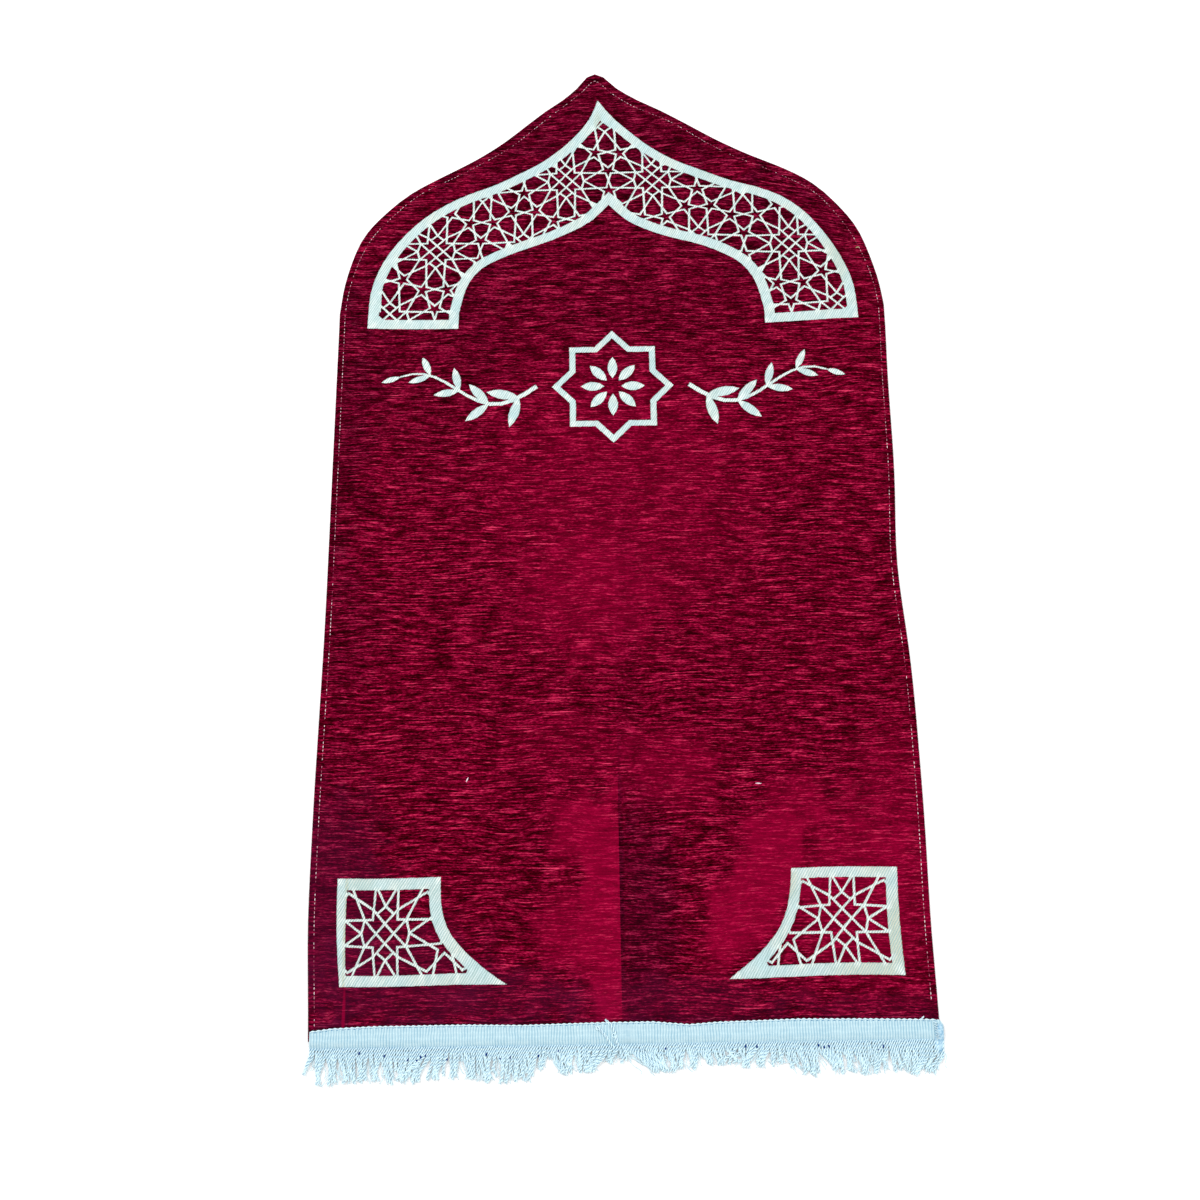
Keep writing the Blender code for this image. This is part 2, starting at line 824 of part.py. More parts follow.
def cloth_shell():
    """The cloth as one closed body: pile and figure, the step between them, the edge and the underside."""
    edge = cloth_edge()
    plan = merged_plan(draw_plan(edge))
    shell = Shell(edge)
    for face in plan.faces:
        woven = face.material_index % 2
        level = "figure" if woven else "pile"
        shell.face([(vertex.co.x, vertex.co.y, level) for vertex in face.verts], woven)
    for side in plan.edges:
        sides = {loop.face.material_index % 2: loop for loop in side.link_loops}
        if len(sides) == 2:
            start, end = sides[0].vert.co, sides[0].link_loop_next.vert.co
            step = [(end, "pile"), (start, "pile"), (start, "figure"), (end, "figure")]
            shell.face([(place.x, place.y, level) for place, level in step], 0)
    rim = [vertex.co.copy() for vertex in boundary_loop(plan)]
    for start, end in zip(rim, rim[1:] + rim[:1]):
        wall = [(end, "pile"), (start, "pile"), (start, "floor"), (end, "floor")]
        shell.face([(place.x, place.y, level) for place, level in wall], 0)
    under = Plan()
    under.add("cloth", [Vector((place.x, place.y)) for place in rim])
    for start, end in crease_lines():
        under.add_line(start, end)
    points, patches = under.triangles()
    for face, names in patches:
        if "cloth" in names:
            shell.face([(points[i].x, points[i].y, "floor") for i in reversed(face)], 0)
    plan.free()
    return shell.mesh


def make_object(name, mesh, materials):
    """An object from a finished bmesh."""
    data = bpy.data.meshes.new(name)
    mesh.to_mesh(data)
    mesh.free()
    for material in materials:
        data.materials.append(material)
    made = bpy.data.objects.new(name, data)
    made.location = CENTRING
    bpy.context.scene.collection.objects.link(made)
    return made


def build_cloth():
    """The rug cloth."""
    pile = cloth_material("chenille_red", PILE_RED, 0.9)
    figure = cloth_material("figure_mint", FIGURE_MINT, 0.8)
    return make_object("rug_cloth", cloth_shell(), (pile, figure))


# ---- The fringe trim -----------------------------------------------------------------------------

# The tape's left and right ends, and how its top edge wavers in between.
TAPE_EDGE = (
    # (x, top edge's height above its usual line)
    (-0.3405, -0.0045),
    (-0.3140, -0.0015),
    (-0.2700, 0.0000),
    (-0.1700, 0.0003),
    (-0.1100, -0.0010),
    (-0.0200, 0.0006),
    (0.0310, 0.0006),
    (0.0700, -0.0028),
    (0.1000, -0.0008),
    (0.1900, 0.0012),
    (0.2600, 0.0002),
    (0.3450, -0.0016),
)


def tape_rise(x):
    """The height of the cloth under the tape: over the hems and the creases it rides higher."""
    hem_full = SIDE_EDGE[-1][1] - HEM_STITCH - HEM_EASE
    hem_start = hem_full - 2 * HEM_EASE
    part = min(1.0, max(0.0, (abs(x) - hem_start) / (hem_full - hem_start)))
    lift = crease_lift(2 * x - askew(x, CLOTH_END).x, CLOTH_END)
    return PILE_TOP + part * (HEM_PROFILE[2][1] - PILE_TOP) + lift


def tape_section(x):
    """The tape's cross-section at x: flat on the cloth, then down over the cut end to the floor."""
    top_edge = TAPE_TOP_EDGE + between(TAPE_EDGE, x)
    foot = TAPE_TOP_EDGE - TAPE_DEPTH
    under = tape_rise(x) + GAP
    over = under + TAPE_THICK
    return [
        (x, top_edge, under),
        (x, top_edge, over),
        (x, CLOTH_END - 0.0010, over),
        (x, foot + 0.0022, CORD_HEIGHT + 0.0004),
        (x, foot, CORD_HEIGHT),
        (x, foot, 0.0),
        (x, foot + 0.0030, 0.0),
        (x, CLOTH_END - 0.0009, under),
    ]


def cord_roots():
    """The left and right side of each cord's root."""
    first, last = TAPE_EDGE[0][0], TAPE_EDGE[-1][0]
    pitch = (last - first) / STRANDS
    centres = [first + (i + 0.5) * pitch for i in range(STRANDS)]
    return [(centre - CORD_WIDTH / 2, centre + CORD_WIDTH / 2) for centre in centres]


# A cord from its root to its tip: share of the length, width and height as shares of the full ones.
CORD_FORM = (
    (0.30, 1.00, 1.00),
    (0.72, 0.95, 0.95),
    (1.00, 0.55, 0.60),
)


def cord_sections(index, root, lean, length):
    """The cross-sections of one cord, each four corners in the order of its root."""
    root_middle = sum(root) / 2
    lock_middle = (index // STRAND_LOCK + 0.5) * STRAND_LOCK
    pull = (lock_middle - index - 0.5) * (TAPE_EDGE[-1][0] - TAPE_EDGE[0][0]) / STRANDS * 0.35
    foot = TAPE_TOP_EDGE - TAPE_DEPTH
    sections = []
    for share, wide, high in CORD_FORM:
        middle = root_middle + (pull + lean) * share**1.5
        half = CORD_WIDTH / 2 * wide
        y = foot - length * share
        top = CORD_HEIGHT * high
        left, right = middle - half, middle + half
        sections.append([(left, y, top), (right, y, top), (right, y, 0), (left, y, 0)])
    return sections


def cord_length(x, chance):
    """The cord's length: worn short a little right of the middle."""
    short = 0.010 * exp(-(((x - 0.010) / 0.045) ** 2))
    return CORD_LENGTH - short + chance.uniform(-0.0035, 0.0020)


def trim_mesh():
    """The tape, and the cords that grow out of its lower edge."""
    mesh = bmesh.new()
    roots = cord_roots()
    bends = [x for x, _ in TAPE_EDGE]
    bends += [askew(start.x, CLOTH_END).x for start, _ in crease_lines()]
    places = sorted({round(x, 6) for x in bends + [side for root in roots for side in root]})
    rows = [[mesh.verts.new(corner) for corner in tape_section(x)] for x in places]
    left_sides = {round(left, 6): i for i, (left, _) in enumerate(roots)}
    chance = random.Random(5)
    leans = [chance.uniform(-0.0035, 0.0035) for _ in range(STRANDS // STRAND_LOCK + 1)]
    open_root = None
    size = len(rows[0])
    for place, row, following in zip(places, rows, rows[1:]):
        open_root = left_sides.get(place, open_root)
        inside_root = open_root is not None and place < roots[open_root][1] - 1e-6
        for i in range(size):
            if i == 4 and inside_root:
                continue
            j = (i + 1) % size
            mesh.faces.new((row[i], row[j], following[j], following[i]))
    mesh.faces.new(rows[0][::-1])
    mesh.faces.new(rows[-1])
    index_of = {place: i for i, place in enumerate(places)}
    for i, (left, right) in enumerate(roots):
        first, last = index_of[round(left, 6)], index_of[round(right, 6)]
        top = [rows[k][4] for k in range(first, last + 1)]
        bottom = [rows[k][5] for k in range(last, first - 1, -1)]
        lean = leans[i // STRAND_LOCK]
        length = cord_length((left + right) / 2, chance)
        ring = top + bottom
        sections = cord_sections(i, (left, right), lean, length)
        ends = (0, len(top) - 1, len(top), len(ring) - 1)
        first_section = [mesh.verts.new(corner) for corner in sections[0]]
        mesh.faces.new(top + [first_section[1], first_section[0]])
        mesh.faces.new((ring[ends[1]], ring[ends[2]], first_section[2], first_section[1]))
        mesh.faces.new(bottom + [first_section[3], first_section[2]])
        mesh.faces.new((ring[ends[3]], ring[ends[0]], first_section[0], first_section[3]))
        before = first_section
        for section in sections[1:]:
            now = [mesh.verts.new(corner) for corner in section]
            for k in range(4):
                mesh.faces.new((before[k], before[(k + 1) % 4], now[(k + 1) % 4], now[k]))
            before = now
        mesh.faces.new(before)
    bmesh.ops.recalc_face_normals(mesh, faces=mesh.faces)
    bmesh.ops.dissolve_limit(mesh, angle_limit=radians(0.3), verts=mesh.verts, edges=mesh.edges)
    bmesh.ops.triangulate(mesh, faces=mesh.faces, quad_method="BEAUTY", ngon_method="BEAUTY")
    return mesh


def build_trim():
    """The tape with its fringe."""
    return make_object("fringe_trim", trim_mesh(), (cloth_material("trim_blue", TRIM_BLUE, 0.7),))


for old in list(bpy.data.objects):
    bpy.data.objects.remove(old)
build_cloth()
build_trim()
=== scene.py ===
# %% [markdown]
# # A prayer rug with a fringe
#
# This lesson dresses a plain model of a prayer rug: red chenille cloth cut to a pointed arch, a pale figure
# woven into it, and a blue tape with twisted cords along its lower end. The plain model comes first, as the
# frame. It gives every size, so each piece here is laid over it.

# %% Load the frame
import random
from math import ceil, cos, exp, pi, radians, sin

import bmesh
import bpy
from mathutils import Matrix, Vector, noise
from mathutils.bvhtree import BVHTree
from mathutils.geometry import delaunay_2d_cdt
from mathutils.kdtree import KDTree


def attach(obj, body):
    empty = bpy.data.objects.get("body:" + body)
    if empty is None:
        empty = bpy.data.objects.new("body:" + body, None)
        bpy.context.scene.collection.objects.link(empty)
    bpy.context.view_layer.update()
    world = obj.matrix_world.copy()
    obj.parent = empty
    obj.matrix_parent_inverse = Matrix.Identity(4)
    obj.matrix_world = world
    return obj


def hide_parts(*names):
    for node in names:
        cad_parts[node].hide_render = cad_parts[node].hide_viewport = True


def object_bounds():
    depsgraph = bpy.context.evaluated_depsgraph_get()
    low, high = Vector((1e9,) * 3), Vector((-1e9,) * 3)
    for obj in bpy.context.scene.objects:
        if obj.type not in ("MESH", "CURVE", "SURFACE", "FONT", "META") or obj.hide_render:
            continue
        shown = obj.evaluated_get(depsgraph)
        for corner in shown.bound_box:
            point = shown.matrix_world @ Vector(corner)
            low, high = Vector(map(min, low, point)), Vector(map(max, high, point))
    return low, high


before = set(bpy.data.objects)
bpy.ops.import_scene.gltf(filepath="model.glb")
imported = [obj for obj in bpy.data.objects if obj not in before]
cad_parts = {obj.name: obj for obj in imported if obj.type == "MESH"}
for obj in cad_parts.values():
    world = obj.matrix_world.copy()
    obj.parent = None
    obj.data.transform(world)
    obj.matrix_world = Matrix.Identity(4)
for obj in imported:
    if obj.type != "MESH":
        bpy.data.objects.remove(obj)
cad_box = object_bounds()
print("plain model:", [[round(side, 4) for side in corner] for corner in cad_box])

# %% [markdown]
# ## Camera
#
# The rug lies on the floor and is seen from above, from a little towards its fringe. A camera is placed by
# a matrix whose columns are its right, its up, the way backwards and its place. The slight roll is a turn
# of right and up about the line of sight.

# %% Place the camera
CAMERA_PLACE = Vector((-0.0186, -0.4589, 1.3442))
CAMERA_TILT = radians(15)
CAMERA_ROLL = radians(0.9)
SENSOR_WIDTH = 36.0  # millimetres, as the focal length
FOCAL_LENGTH = 35.289

right = Vector((1, 0, 0))
up = Vector((0, cos(CAMERA_TILT), sin(CAMERA_TILT)))
backward = Vector((0, -sin(CAMERA_TILT), cos(CAMERA_TILT)))
rolled_right = right * cos(CAMERA_ROLL) - up * sin(CAMERA_ROLL)
rolled_up = right * sin(CAMERA_ROLL) + up * cos(CAMERA_ROLL)



def add_object(name, data):
    """Adds an object to the scene."""
    added = bpy.data.objects.new(name, data)
    bpy.context.scene.collection.objects.link(added)
    return added


camera = add_object("camera", bpy.data.cameras.new("camera"))
turn = Matrix((rolled_right, rolled_up, backward)).transposed()
camera.matrix_world = Matrix.Translation(CAMERA_PLACE) @ turn.to_4x4()
camera.data.sensor_width = SENSOR_WIDTH
camera.data.lens = FOCAL_LENGTH
bpy.context.scene.camera = camera
bpy.context.scene.view_settings.view_transform = "Standard"
print("camera height:", round(CAMERA_PLACE.z, 3))

# %% [markdown]
# ## Small helpers for nodes
#
# Materials are built from nodes in code. One helper adds a node and fills its inputs, with a number or with
# another node's output. Another starts a node group, which is a small machine that several materials can
# share.


# %% Node helpers
def node(tree, kind, inputs=(), **settings):
    """Adds a node. Each input is a number, a colour or another node's output."""
    made = tree.nodes.new(kind)
    for name, value in settings.items():
        setattr(made, name, value)
    for socket, value in dict(inputs).items():
        if isinstance(value, bpy.types.NodeSocket):
            tree.links.new(value, made.inputs[socket])
        else:
            made.inputs[socket].default_value = value
    return made


def math(tree, operation, *values):
    """Adds a Math node and gives its result. MULTIPLY_ADD is the first times the second, plus the third."""
    return node(tree, "ShaderNodeMath", dict(enumerate(values)), operation=operation).outputs[0]


def vector_math(tree, operation, *values):
    """Adds a Vector Math node and gives its outputs."""
    return node(tree, "ShaderNodeVectorMath", dict(enumerate(values)), operation=operation).outputs


def noise_of(tree, place, scale, detail, roughness=0.5):
    """Adds a Noise Texture and gives its value."""
    sockets = {"Vector": place, "Scale": scale, "Detail": detail, "Roughness": roughness}
    return node(tree, "ShaderNodeTexNoise", sockets).outputs[0]


def smooth_step(tree, value, start, full, top=1.0):
    """Goes gently from 0, where the value is start, to top, where it is full."""
    sockets = {0: value, 1: start, 2: full, 3: 0.0, 4: top}
    return node(tree, "ShaderNodeMapRange", sockets, interpolation_type="SMOOTHSTEP").outputs[0]


def new_group(name, inputs, output, kind="NodeSocketFloat"):
    """Starts a node group with named sockets, and gives it with its inputs and the output to fill."""
    group = bpy.data.node_groups.new(name, "ShaderNodeTree")
    for label, default in inputs.items():
        input_kind = "NodeSocketVector" if isinstance(default, tuple) else "NodeSocketFloat"
        group.interface.new_socket(label, in_out="INPUT", socket_type=input_kind).default_value = default
    group.interface.new_socket(output, in_out="OUTPUT", socket_type=kind)
    return group, node(group, "NodeGroupInput").outputs, node(group, "NodeGroupOutput").inputs[0]


def use_group(tree, group, **inputs):
    """Places a node group in a material, with its inputs by name, and gives its outputs."""
    return node(tree, "ShaderNodeGroup", inputs, node_tree=group).outputs


print("node helpers ready")

# %% [markdown]
# ## Node groups for cloth
#
# On the real rug the chenille weft runs across in rows that waver a little. At the top the rows rise to the
# right, and on the right of the arch they fall. `weft_flow` bends the coordinates the same way, so that
# each pattern follows the rows. `streaks` gives long thin flecks, from noise that is stretched along the
# rows.


# %% Weft flow and streaks
SLANT_FROM = 0.19  # metres right of the middle
SLANT = 0.20
SLANT_LOW, SLANT_HIGH = 0.30, 0.42  # it grows between these two heights
RISE = -0.09
RISE_LOW, RISE_HIGH = 0.44, 0.56
WAVER = 0.016

weft_flow, given, result = new_group("weft_flow", {"Position": (0, 0, 0)}, "Flow", "NodeSocketVector")
parts = node(weft_flow, "ShaderNodeSeparateXYZ", {0: given["Position"]}).outputs
outward = math(weft_flow, "MAXIMUM", math(weft_flow, "SUBTRACT", parts[0], SLANT_FROM), 0.0)
slant = smooth_step(weft_flow, parts[1], SLANT_LOW, SLANT_HIGH, SLANT)
rise = smooth_step(weft_flow, parts[1], RISE_LOW, RISE_HIGH, RISE)
waver = math(weft_flow, "SUBTRACT", noise_of(weft_flow, given["Position"], 9.0, 1.0), 0.5)
level = math(weft_flow, "MULTIPLY_ADD", outward, slant, parts[1])
level = math(weft_flow, "MULTIPLY_ADD", parts[0], rise, level)
level = math(weft_flow, "MULTIPLY_ADD", waver, WAVER, level)
flow = node(weft_flow, "ShaderNodeCombineXYZ", {0: parts[0], 1: level, 2: parts[2]})
weft_flow.links.new(flow.outputs[0], result)

streaks, given, result = new_group(
    "streaks", {"Flow": (0, 0, 0), "Across": 400.0, "Along": 40.0, "Detail": 2.0}, "Fleck"
)
scale = node(streaks, "ShaderNodeCombineXYZ", {0: given["Along"], 1: given["Across"], 2: given["Along"]})
stretched = vector_math(streaks, "MULTIPLY", given["Flow"], scale.outputs[0])[0]
streaks.links.new(noise_of(streaks, stretched, 1.0, given["Detail"], 0.6), result)
print("groups:", weft_flow.name, streaks.name)

# %% [markdown]
# `soft_patch` marks one soft-edged patch: painted sheen and painted shade where the pile leans another
# way, a place where the cloth has yellowed, and the painted shade of a crease.
# `thread_ribs` gives parallel threads at any angle: the twill of the figure, the ribs of the tape and the
# weave of the back.


# %% Soft patches and thread ribs
PATCH_CORE = 0.3  # the share of its reach over which a patch works in full

patch_inputs = {"Position": (0, 0, 0), "Torn": 0.0, "Centre": (0, 0, 0), "Reach": (0.1, 0.1, 1)}
soft_patch, given, result = new_group("soft_patch", {**patch_inputs, "From": -1.0, "To": 1.0}, "Mask")
away = vector_math(soft_patch, "SUBTRACT", given["Position"], given["Centre"])[0]
share = vector_math(soft_patch, "DIVIDE", away, given["Reach"])[0]
distance = math(soft_patch, "ADD", vector_math(soft_patch, "LENGTH", share)["Value"], given["Torn"])
mask = smooth_step(soft_patch, distance, 1.0, PATCH_CORE)
beside = node(soft_patch, "ShaderNodeSeparateXYZ", {0: given["Position"]}).outputs[0]
mask = math(soft_patch, "MULTIPLY", mask, math(soft_patch, "GREATER_THAN", beside, given["From"]))
mask = math(soft_patch, "MULTIPLY", mask, math(soft_patch, "LESS_THAN", beside, given["To"]))
soft_patch.links.new(mask, result)

thread_ribs, given, result = new_group(
    "thread_ribs", {"Position": (0, 0, 0), "Angle": 0.0, "Pitch": 0.002, "Waver": 0.3}, "Ridge"
)
parts = node(thread_ribs, "ShaderNodeSeparateXYZ", {0: given["Position"]}).outputs
sideways = math(thread_ribs, "MULTIPLY", parts[0], math(thread_ribs, "SINE", given["Angle"]))
upward = math(thread_ribs, "MULTIPLY", parts[1], math(thread_ribs, "COSINE", given["Angle"]))
across = math(thread_ribs, "DIVIDE", math(thread_ribs, "SUBTRACT", sideways, upward), given["Pitch"])
uneven = math(thread_ribs, "SUBTRACT", noise_of(thread_ribs, given["Position"], 140.0, 2.0), 0.5)
across = math(thread_ribs, "MULTIPLY_ADD", uneven, given["Waver"], across)
wave = math(thread_ribs, "SINE", math(thread_ribs, "MULTIPLY", across, 2 * pi))
thread_ribs.links.new(math(thread_ribs, "MULTIPLY_ADD", wave, 0.5, 0.5), result)
print("groups:", soft_patch.name, thread_ribs.name)

# %% [markdown]
# ## Chenille red
#
# Chenille yarn is a soft brush of fibres. Where the fibres lean away from the light it looks almost black,
# and where they lean towards it, bright crimson, so the ground is a field of dark and bright flecks. The
# colour comes from two sizes of flecks and a few broad patches, and the same flecks raise the bump.


# %% Material helpers
def new_material(name, roughness, sheen=0.0, sheen_tint=(1, 1, 1, 1)):
    """A Principled material with its constant values set, and its tree, shader and position."""
    material = bpy.data.materials.new(name)
    material.use_nodes = True
    tree = material.node_tree
    shader = tree.nodes["Principled BSDF"]
    shader.inputs["Roughness"].default_value = roughness
    shader.inputs["Specular IOR Level"].default_value = 0.0
    shader.inputs["Sheen Weight"].default_value = sheen
    shader.inputs["Sheen Roughness"].default_value = 0.45
    shader.inputs["Sheen Tint"].default_value = sheen_tint
    position = node(tree, "ShaderNodeTexCoord").outputs["Object"]
    return material, tree, shader, position


def color_ramp(tree, fac, stops):
    """A colour for each value: stops are (value, red, green, blue)."""
    made = node(tree, "ShaderNodeValToRGB", {0: fac})
    elements = made.color_ramp.elements
    while len(elements) < len(stops):
        elements.new(0.5)
    for element, (place, *rgb) in zip(elements, stops):
        element.position = place
        element.color = (*rgb, 1.0)
    return made.outputs["Color"]


def mix_color(tree, fac, first, second, blend="MIX"):
    """One colour over another."""
    sockets = {"Factor": fac, 6: first, 7: second}
    return node(tree, "ShaderNodeMix", sockets, data_type="RGBA", blend_type=blend).outputs[2]


def add_bump(tree, shader, height, distance):
    """Sends a height to the shader's normal."""
    bump = node(tree, "ShaderNodeBump", {"Height": height, "Distance": distance})
    tree.links.new(bump.outputs[0], shader.inputs["Normal"])


print("material helpers ready")

# %% [markdown]
# The nap was pressed down on both sides of the middle fold and in a broad patch on the right, so those
# places catch the light, and where it stands up, along the edges and below, it looks maroon. That sheen
# and shade are painted into the colour, each as one soft patch, listed with its centre, its reach and how
# strong it is. A painted shade darkens the flecks. A painted dull shade draws them together into one
# maroon, and a painted sheen into one bright crimson.

# %% Where the nap shows painted sheen or painted shade
FOLD_X = -1.8  # where the cloth was folded in half, in millimetres
# each patch: (x, y, reach x, reach y, strength), and its left and right limits if any, in millimetres
# painted sheen where the pressed nap catches the light; the first three lie left of the fold
PAINTED_SHEENS = (
    (-14, -460, 40, 170, 0.62, -1000, FOLD_X),
    (-50, -365, 45, 55, 0.36, -1000, FOLD_X),
    (-60, -475, 50, 60, 0.32, -1000, FOLD_X),
    (168, -405, 50, 70, 0.62),
    (132, -460, 48, 58, 0.58),
    (108, -490, 30, 40, 0.30),
    (200, -345, 60, 50, 0.25),
    (265, -440, 120, 140, 0.28),
    (310, -330, 70, 110, 0.14),
    (10, 40, 220, 240, 0.14),
    (-30, -100, 120, 110, 0.15),
    (-50, -270, 110, 60, 0.10),
    (60, -300, 80, 60, 0.20),
    # a painted highlight on the lit side of the crease at the left corner
    (-302.5, -556, 2.2, 40, 0.45),
)
# painted shade where the nap stands up; the first three lie right of the fold
SHADES = (
    (25, -450, 60, 190, 0.55, FOLD_X, 1000),
    (-1, -400, 6, 200, 0.60, FOLD_X, 1000),
    (10, -150, 22, 300, 0.15, FOLD_X, 1000),
    (0, 580, 400, 200, 0.55),
    (0, 350, 420, 220, 0.32),
    (240, 420, 140, 140, 0.35),
    (-230, 260, 150, 280, 0.28),
    (-345, 150, 80, 300, 0.50),
    (-330, -130, 80, 140, 0.35),
    (-335, -420, 100, 200, 0.50),
    (-230, -530, 150, 80, 0.30),
    # a painted shadow along the cloth just above the tape
    (0, -574, 700, 12, 0.90),
    # painted shade on the shaded side of the crease at the left corner
    (-299, -556, 2.2, 40, 1.00),
)
# painted shade that also dulls the flecks: by the fold, at the lower left and above the tape
PAINTED_DULL_SHADES = (
    (26, -470, 45, 150, 0.08, FOLD_X, 1000),
    (-330, -440, 110, 170, 0.28),
    (-250, -520, 150, 90, 0.28),
    (-120, -545, 120, 50, 0.25),
    (60, -550, 200, 35, 0.25),
    (270, -560, 120, 25, 0.20),
)
CRIMSON = (
    # (fleck value, red, green, blue)
    (0.22, 0.014, 0.000, 0.001),
    (0.42, 0.078, 0.000, 0.006),
    (0.55, 0.190, 0.001, 0.022),
    (0.70, 0.410, 0.010, 0.056),
    (0.90, 0.660, 0.045, 0.120),
)
# the painted sheen's crimson, the painted shade's tint and the painted dull shade's maroon
PAINTED_SHEEN_CRIMSON = (0.345, 0.001, 0.036, 1)
PAINTED_SHEEN_LIMIT = 0.42  # a painted sheen covers the flecks by this share at most
SHADE = (0.48, 0.90, 0.72, 1)
DULL_SHADE_MAROON = (0.085, 0.004, 0.028, 1)
SHEEN = (1.0, 0.10, 0.25, 1)
TONE_DOWN = 0.775  # brings the middle of the summed flecks to 0.5
print("nap patches:", len(PAINTED_SHEENS), len(SHADES), len(PAINTED_DULL_SHADES))

# %% [markdown]
# Two sizes of flecks and wider clusters of them make the tone. The ground between the yarns is a darker
# chenille, painted shade in the gaps between them, and the yarns themselves are a lighter one, so both
# come from one function.


# %% Chenille materials
def patch_mask(tree, position, torn, x, y, reach_x, reach_y, strength, from_x=-1000, to_x=1000):
    """How strongly one soft patch, given in millimetres, works at each place."""
    centre, reach = (x / 1000, y / 1000, 0), (reach_x / 1000, reach_y / 1000, 1)
    place = {"Centre": centre, "Reach": reach, "From": from_x / 1000, "To": to_x / 1000}
    mask = use_group(tree, soft_patch, Position=position, Torn=torn, **place)["Mask"]
    return math(tree, "MULTIPLY", mask, strength)


def nap_sheen_and_shade_mask(tree, position, torn, patches):
    """How strongly a whole table of patches works at each place."""
    total = 0.0
    for patch in patches:
        total = math(tree, "ADD", patch_mask(tree, position, torn, *patch), total)
    return total


def chenille(name, shift, bump):
    """The crimson pile: shift makes it brighter or darker as a whole."""
    material, tree, shader, position = new_material(name, 0.9, 0.06, SHEEN)
    run = use_group(tree, weft_flow, Position=position)["Flow"]
    long_fleck = use_group(tree, streaks, Flow=run, Across=470.0, Along=36.0, Detail=2.0)["Fleck"]
    fine_fleck = use_group(tree, streaks, Flow=run, Across=1000.0, Along=260.0, Detail=3.0)["Fleck"]
    cluster = use_group(tree, streaks, Flow=run, Across=130.0, Along=32.0, Detail=2.0)["Fleck"]
    torn = math(tree, "SUBTRACT", noise_of(tree, run, 45.0, 3.0), 0.5)
    tone = math(tree, "MULTIPLY_ADD", long_fleck, 1.10, fine_fleck)
    tone = math(tree, "MULTIPLY_ADD", cluster, 0.45, tone)
    tone = math(tree, "ADD", tone, shift - TONE_DOWN)
    own = node(tree, "ShaderNodeAttribute", attribute_name="yarn_tone").outputs["Fac"]
    crimson = color_ramp(tree, math(tree, "ADD", tone, own), CRIMSON)
    # painted shade, painted dull shade and painted sheen, from the soft patches
    crimson = mix_color(tree, nap_sheen_and_shade_mask(tree, position, torn, SHADES), crimson, SHADE, "MULTIPLY")
    crimson = mix_color(tree, nap_sheen_and_shade_mask(tree, position, torn, PAINTED_DULL_SHADES), crimson, DULL_SHADE_MAROON)
    painted_sheen = math(tree, "MINIMUM", nap_sheen_and_shade_mask(tree, position, torn, PAINTED_SHEENS), PAINTED_SHEEN_LIMIT)
    crimson = mix_color(tree, painted_sheen, crimson, PAINTED_SHEEN_CRIMSON)
    tree.links.new(crimson, shader.inputs["Base Color"])
    add_bump(tree, shader, math(tree, "MULTIPLY_ADD", fine_fleck, 0.5, long_fleck), bump)
    return material


# the ground is darker: painted shade in the gaps between the yarns
pile_material = chenille("chenille_ground", -0.10, 0.0010)
yarn_material = chenille("chenille_yarn", 0.0, 0.0006)
print("materials:", pile_material.name, yarn_material.name)

# %% [markdown]
# ## Mint figure
#
# The figure is flat twill: fine diagonal ridges that rise steeply to the right, with uneven slubs along
# them, and the grooves between the ridges get a painted shade. It is off-white with a cool mint cast, and a
# few places have gone beige. Along the folds, beside the left corner and at the tip of the arch, a narrow
# beige line is the painted shade of the crease. The narrow strands of the lattice are whiter than the
# bands, so the cloth keeps an attribute, `strand`, which the material reads.

# %% Figure and back materials
BEIGE_AND_CREASE_SHADE_PLACES = (
    # (x, y, reach x, reach y, strength), in millimetres
    (120, 412, 28, 14, 0.30),
    (140, 478, 34, 14, 0.25),
    (285, 345, 30, 50, 0.60),
    (212, 318, 14, 34, 0.50),
    # painted shade of the crease at the tip of the arch
    (-12, 556, 7, 22, 0.60),
    (303, -485, 20, 60, 0.80),
    (270, -521, 60, 18, 0.70),
    (186, -420, 16, 34, 0.70),
    (285, -413, 30, 14, 0.40),
    (-290, -420, 20, 16, 0.35),
    # painted shade of the crease beside the left corner
    (-304.5, -480, 3.2, 110, 1.00),
    (-200, -525, 50, 8, 0.25),
)

TWILL_ANGLE = radians(59)
TWILL_PITCH = 0.0026
# colours of yarn by value: (value, red, green, blue)
MINTS = ((0.35, 0.54, 0.70, 0.72), (0.52, 0.64, 0.74, 0.73), (0.68, 0.70, 0.74, 0.68))
BACK_REDS = ((0.0, 0.05, 0.002, 0.012), (0.6, 0.16, 0.010, 0.035), (1.0, 0.30, 0.12, 0.13))
BEIGE_AND_CREASE_SHADE = (0.56, 0.56, 0.42, 1)
STRAND_WHITE = (0.84, 0.90, 0.85, 1)
GROOVE_SHADE_MINT = (0.32, 0.47, 0.46, 1)

figure_material, tree, shader, position = new_material("figure_mint", 0.8, 0.05)
twill_lines = {"Angle": TWILL_ANGLE, "Pitch": TWILL_PITCH, "Waver": 0.6}
twill = use_group(tree, thread_ribs, Position=position, **twill_lines)["Ridge"]
turned = {"Vector": position, "Angle": -TWILL_ANGLE}
slanted = node(tree, "ShaderNodeVectorRotate", turned, rotation_type="Z_AXIS").outputs[0]
slub = use_group(tree, streaks, Flow=slanted, Across=300.0, Along=45.0, Detail=2.0)["Fleck"]
mottle = noise_of(tree, position, 30.0, 4.0)
cool = color_ramp(tree, mottle, MINTS)
torn = math(tree, "SUBTRACT", mottle, 0.5)
for beige_and_crease_place in BEIGE_AND_CREASE_SHADE_PLACES:
    cool = mix_color(tree, patch_mask(tree, position, torn, *beige_and_crease_place), cool, BEIGE_AND_CREASE_SHADE)
strand = node(tree, "ShaderNodeAttribute", attribute_name="strand").outputs["Fac"]
cool = mix_color(tree, strand, cool, STRAND_WHITE)
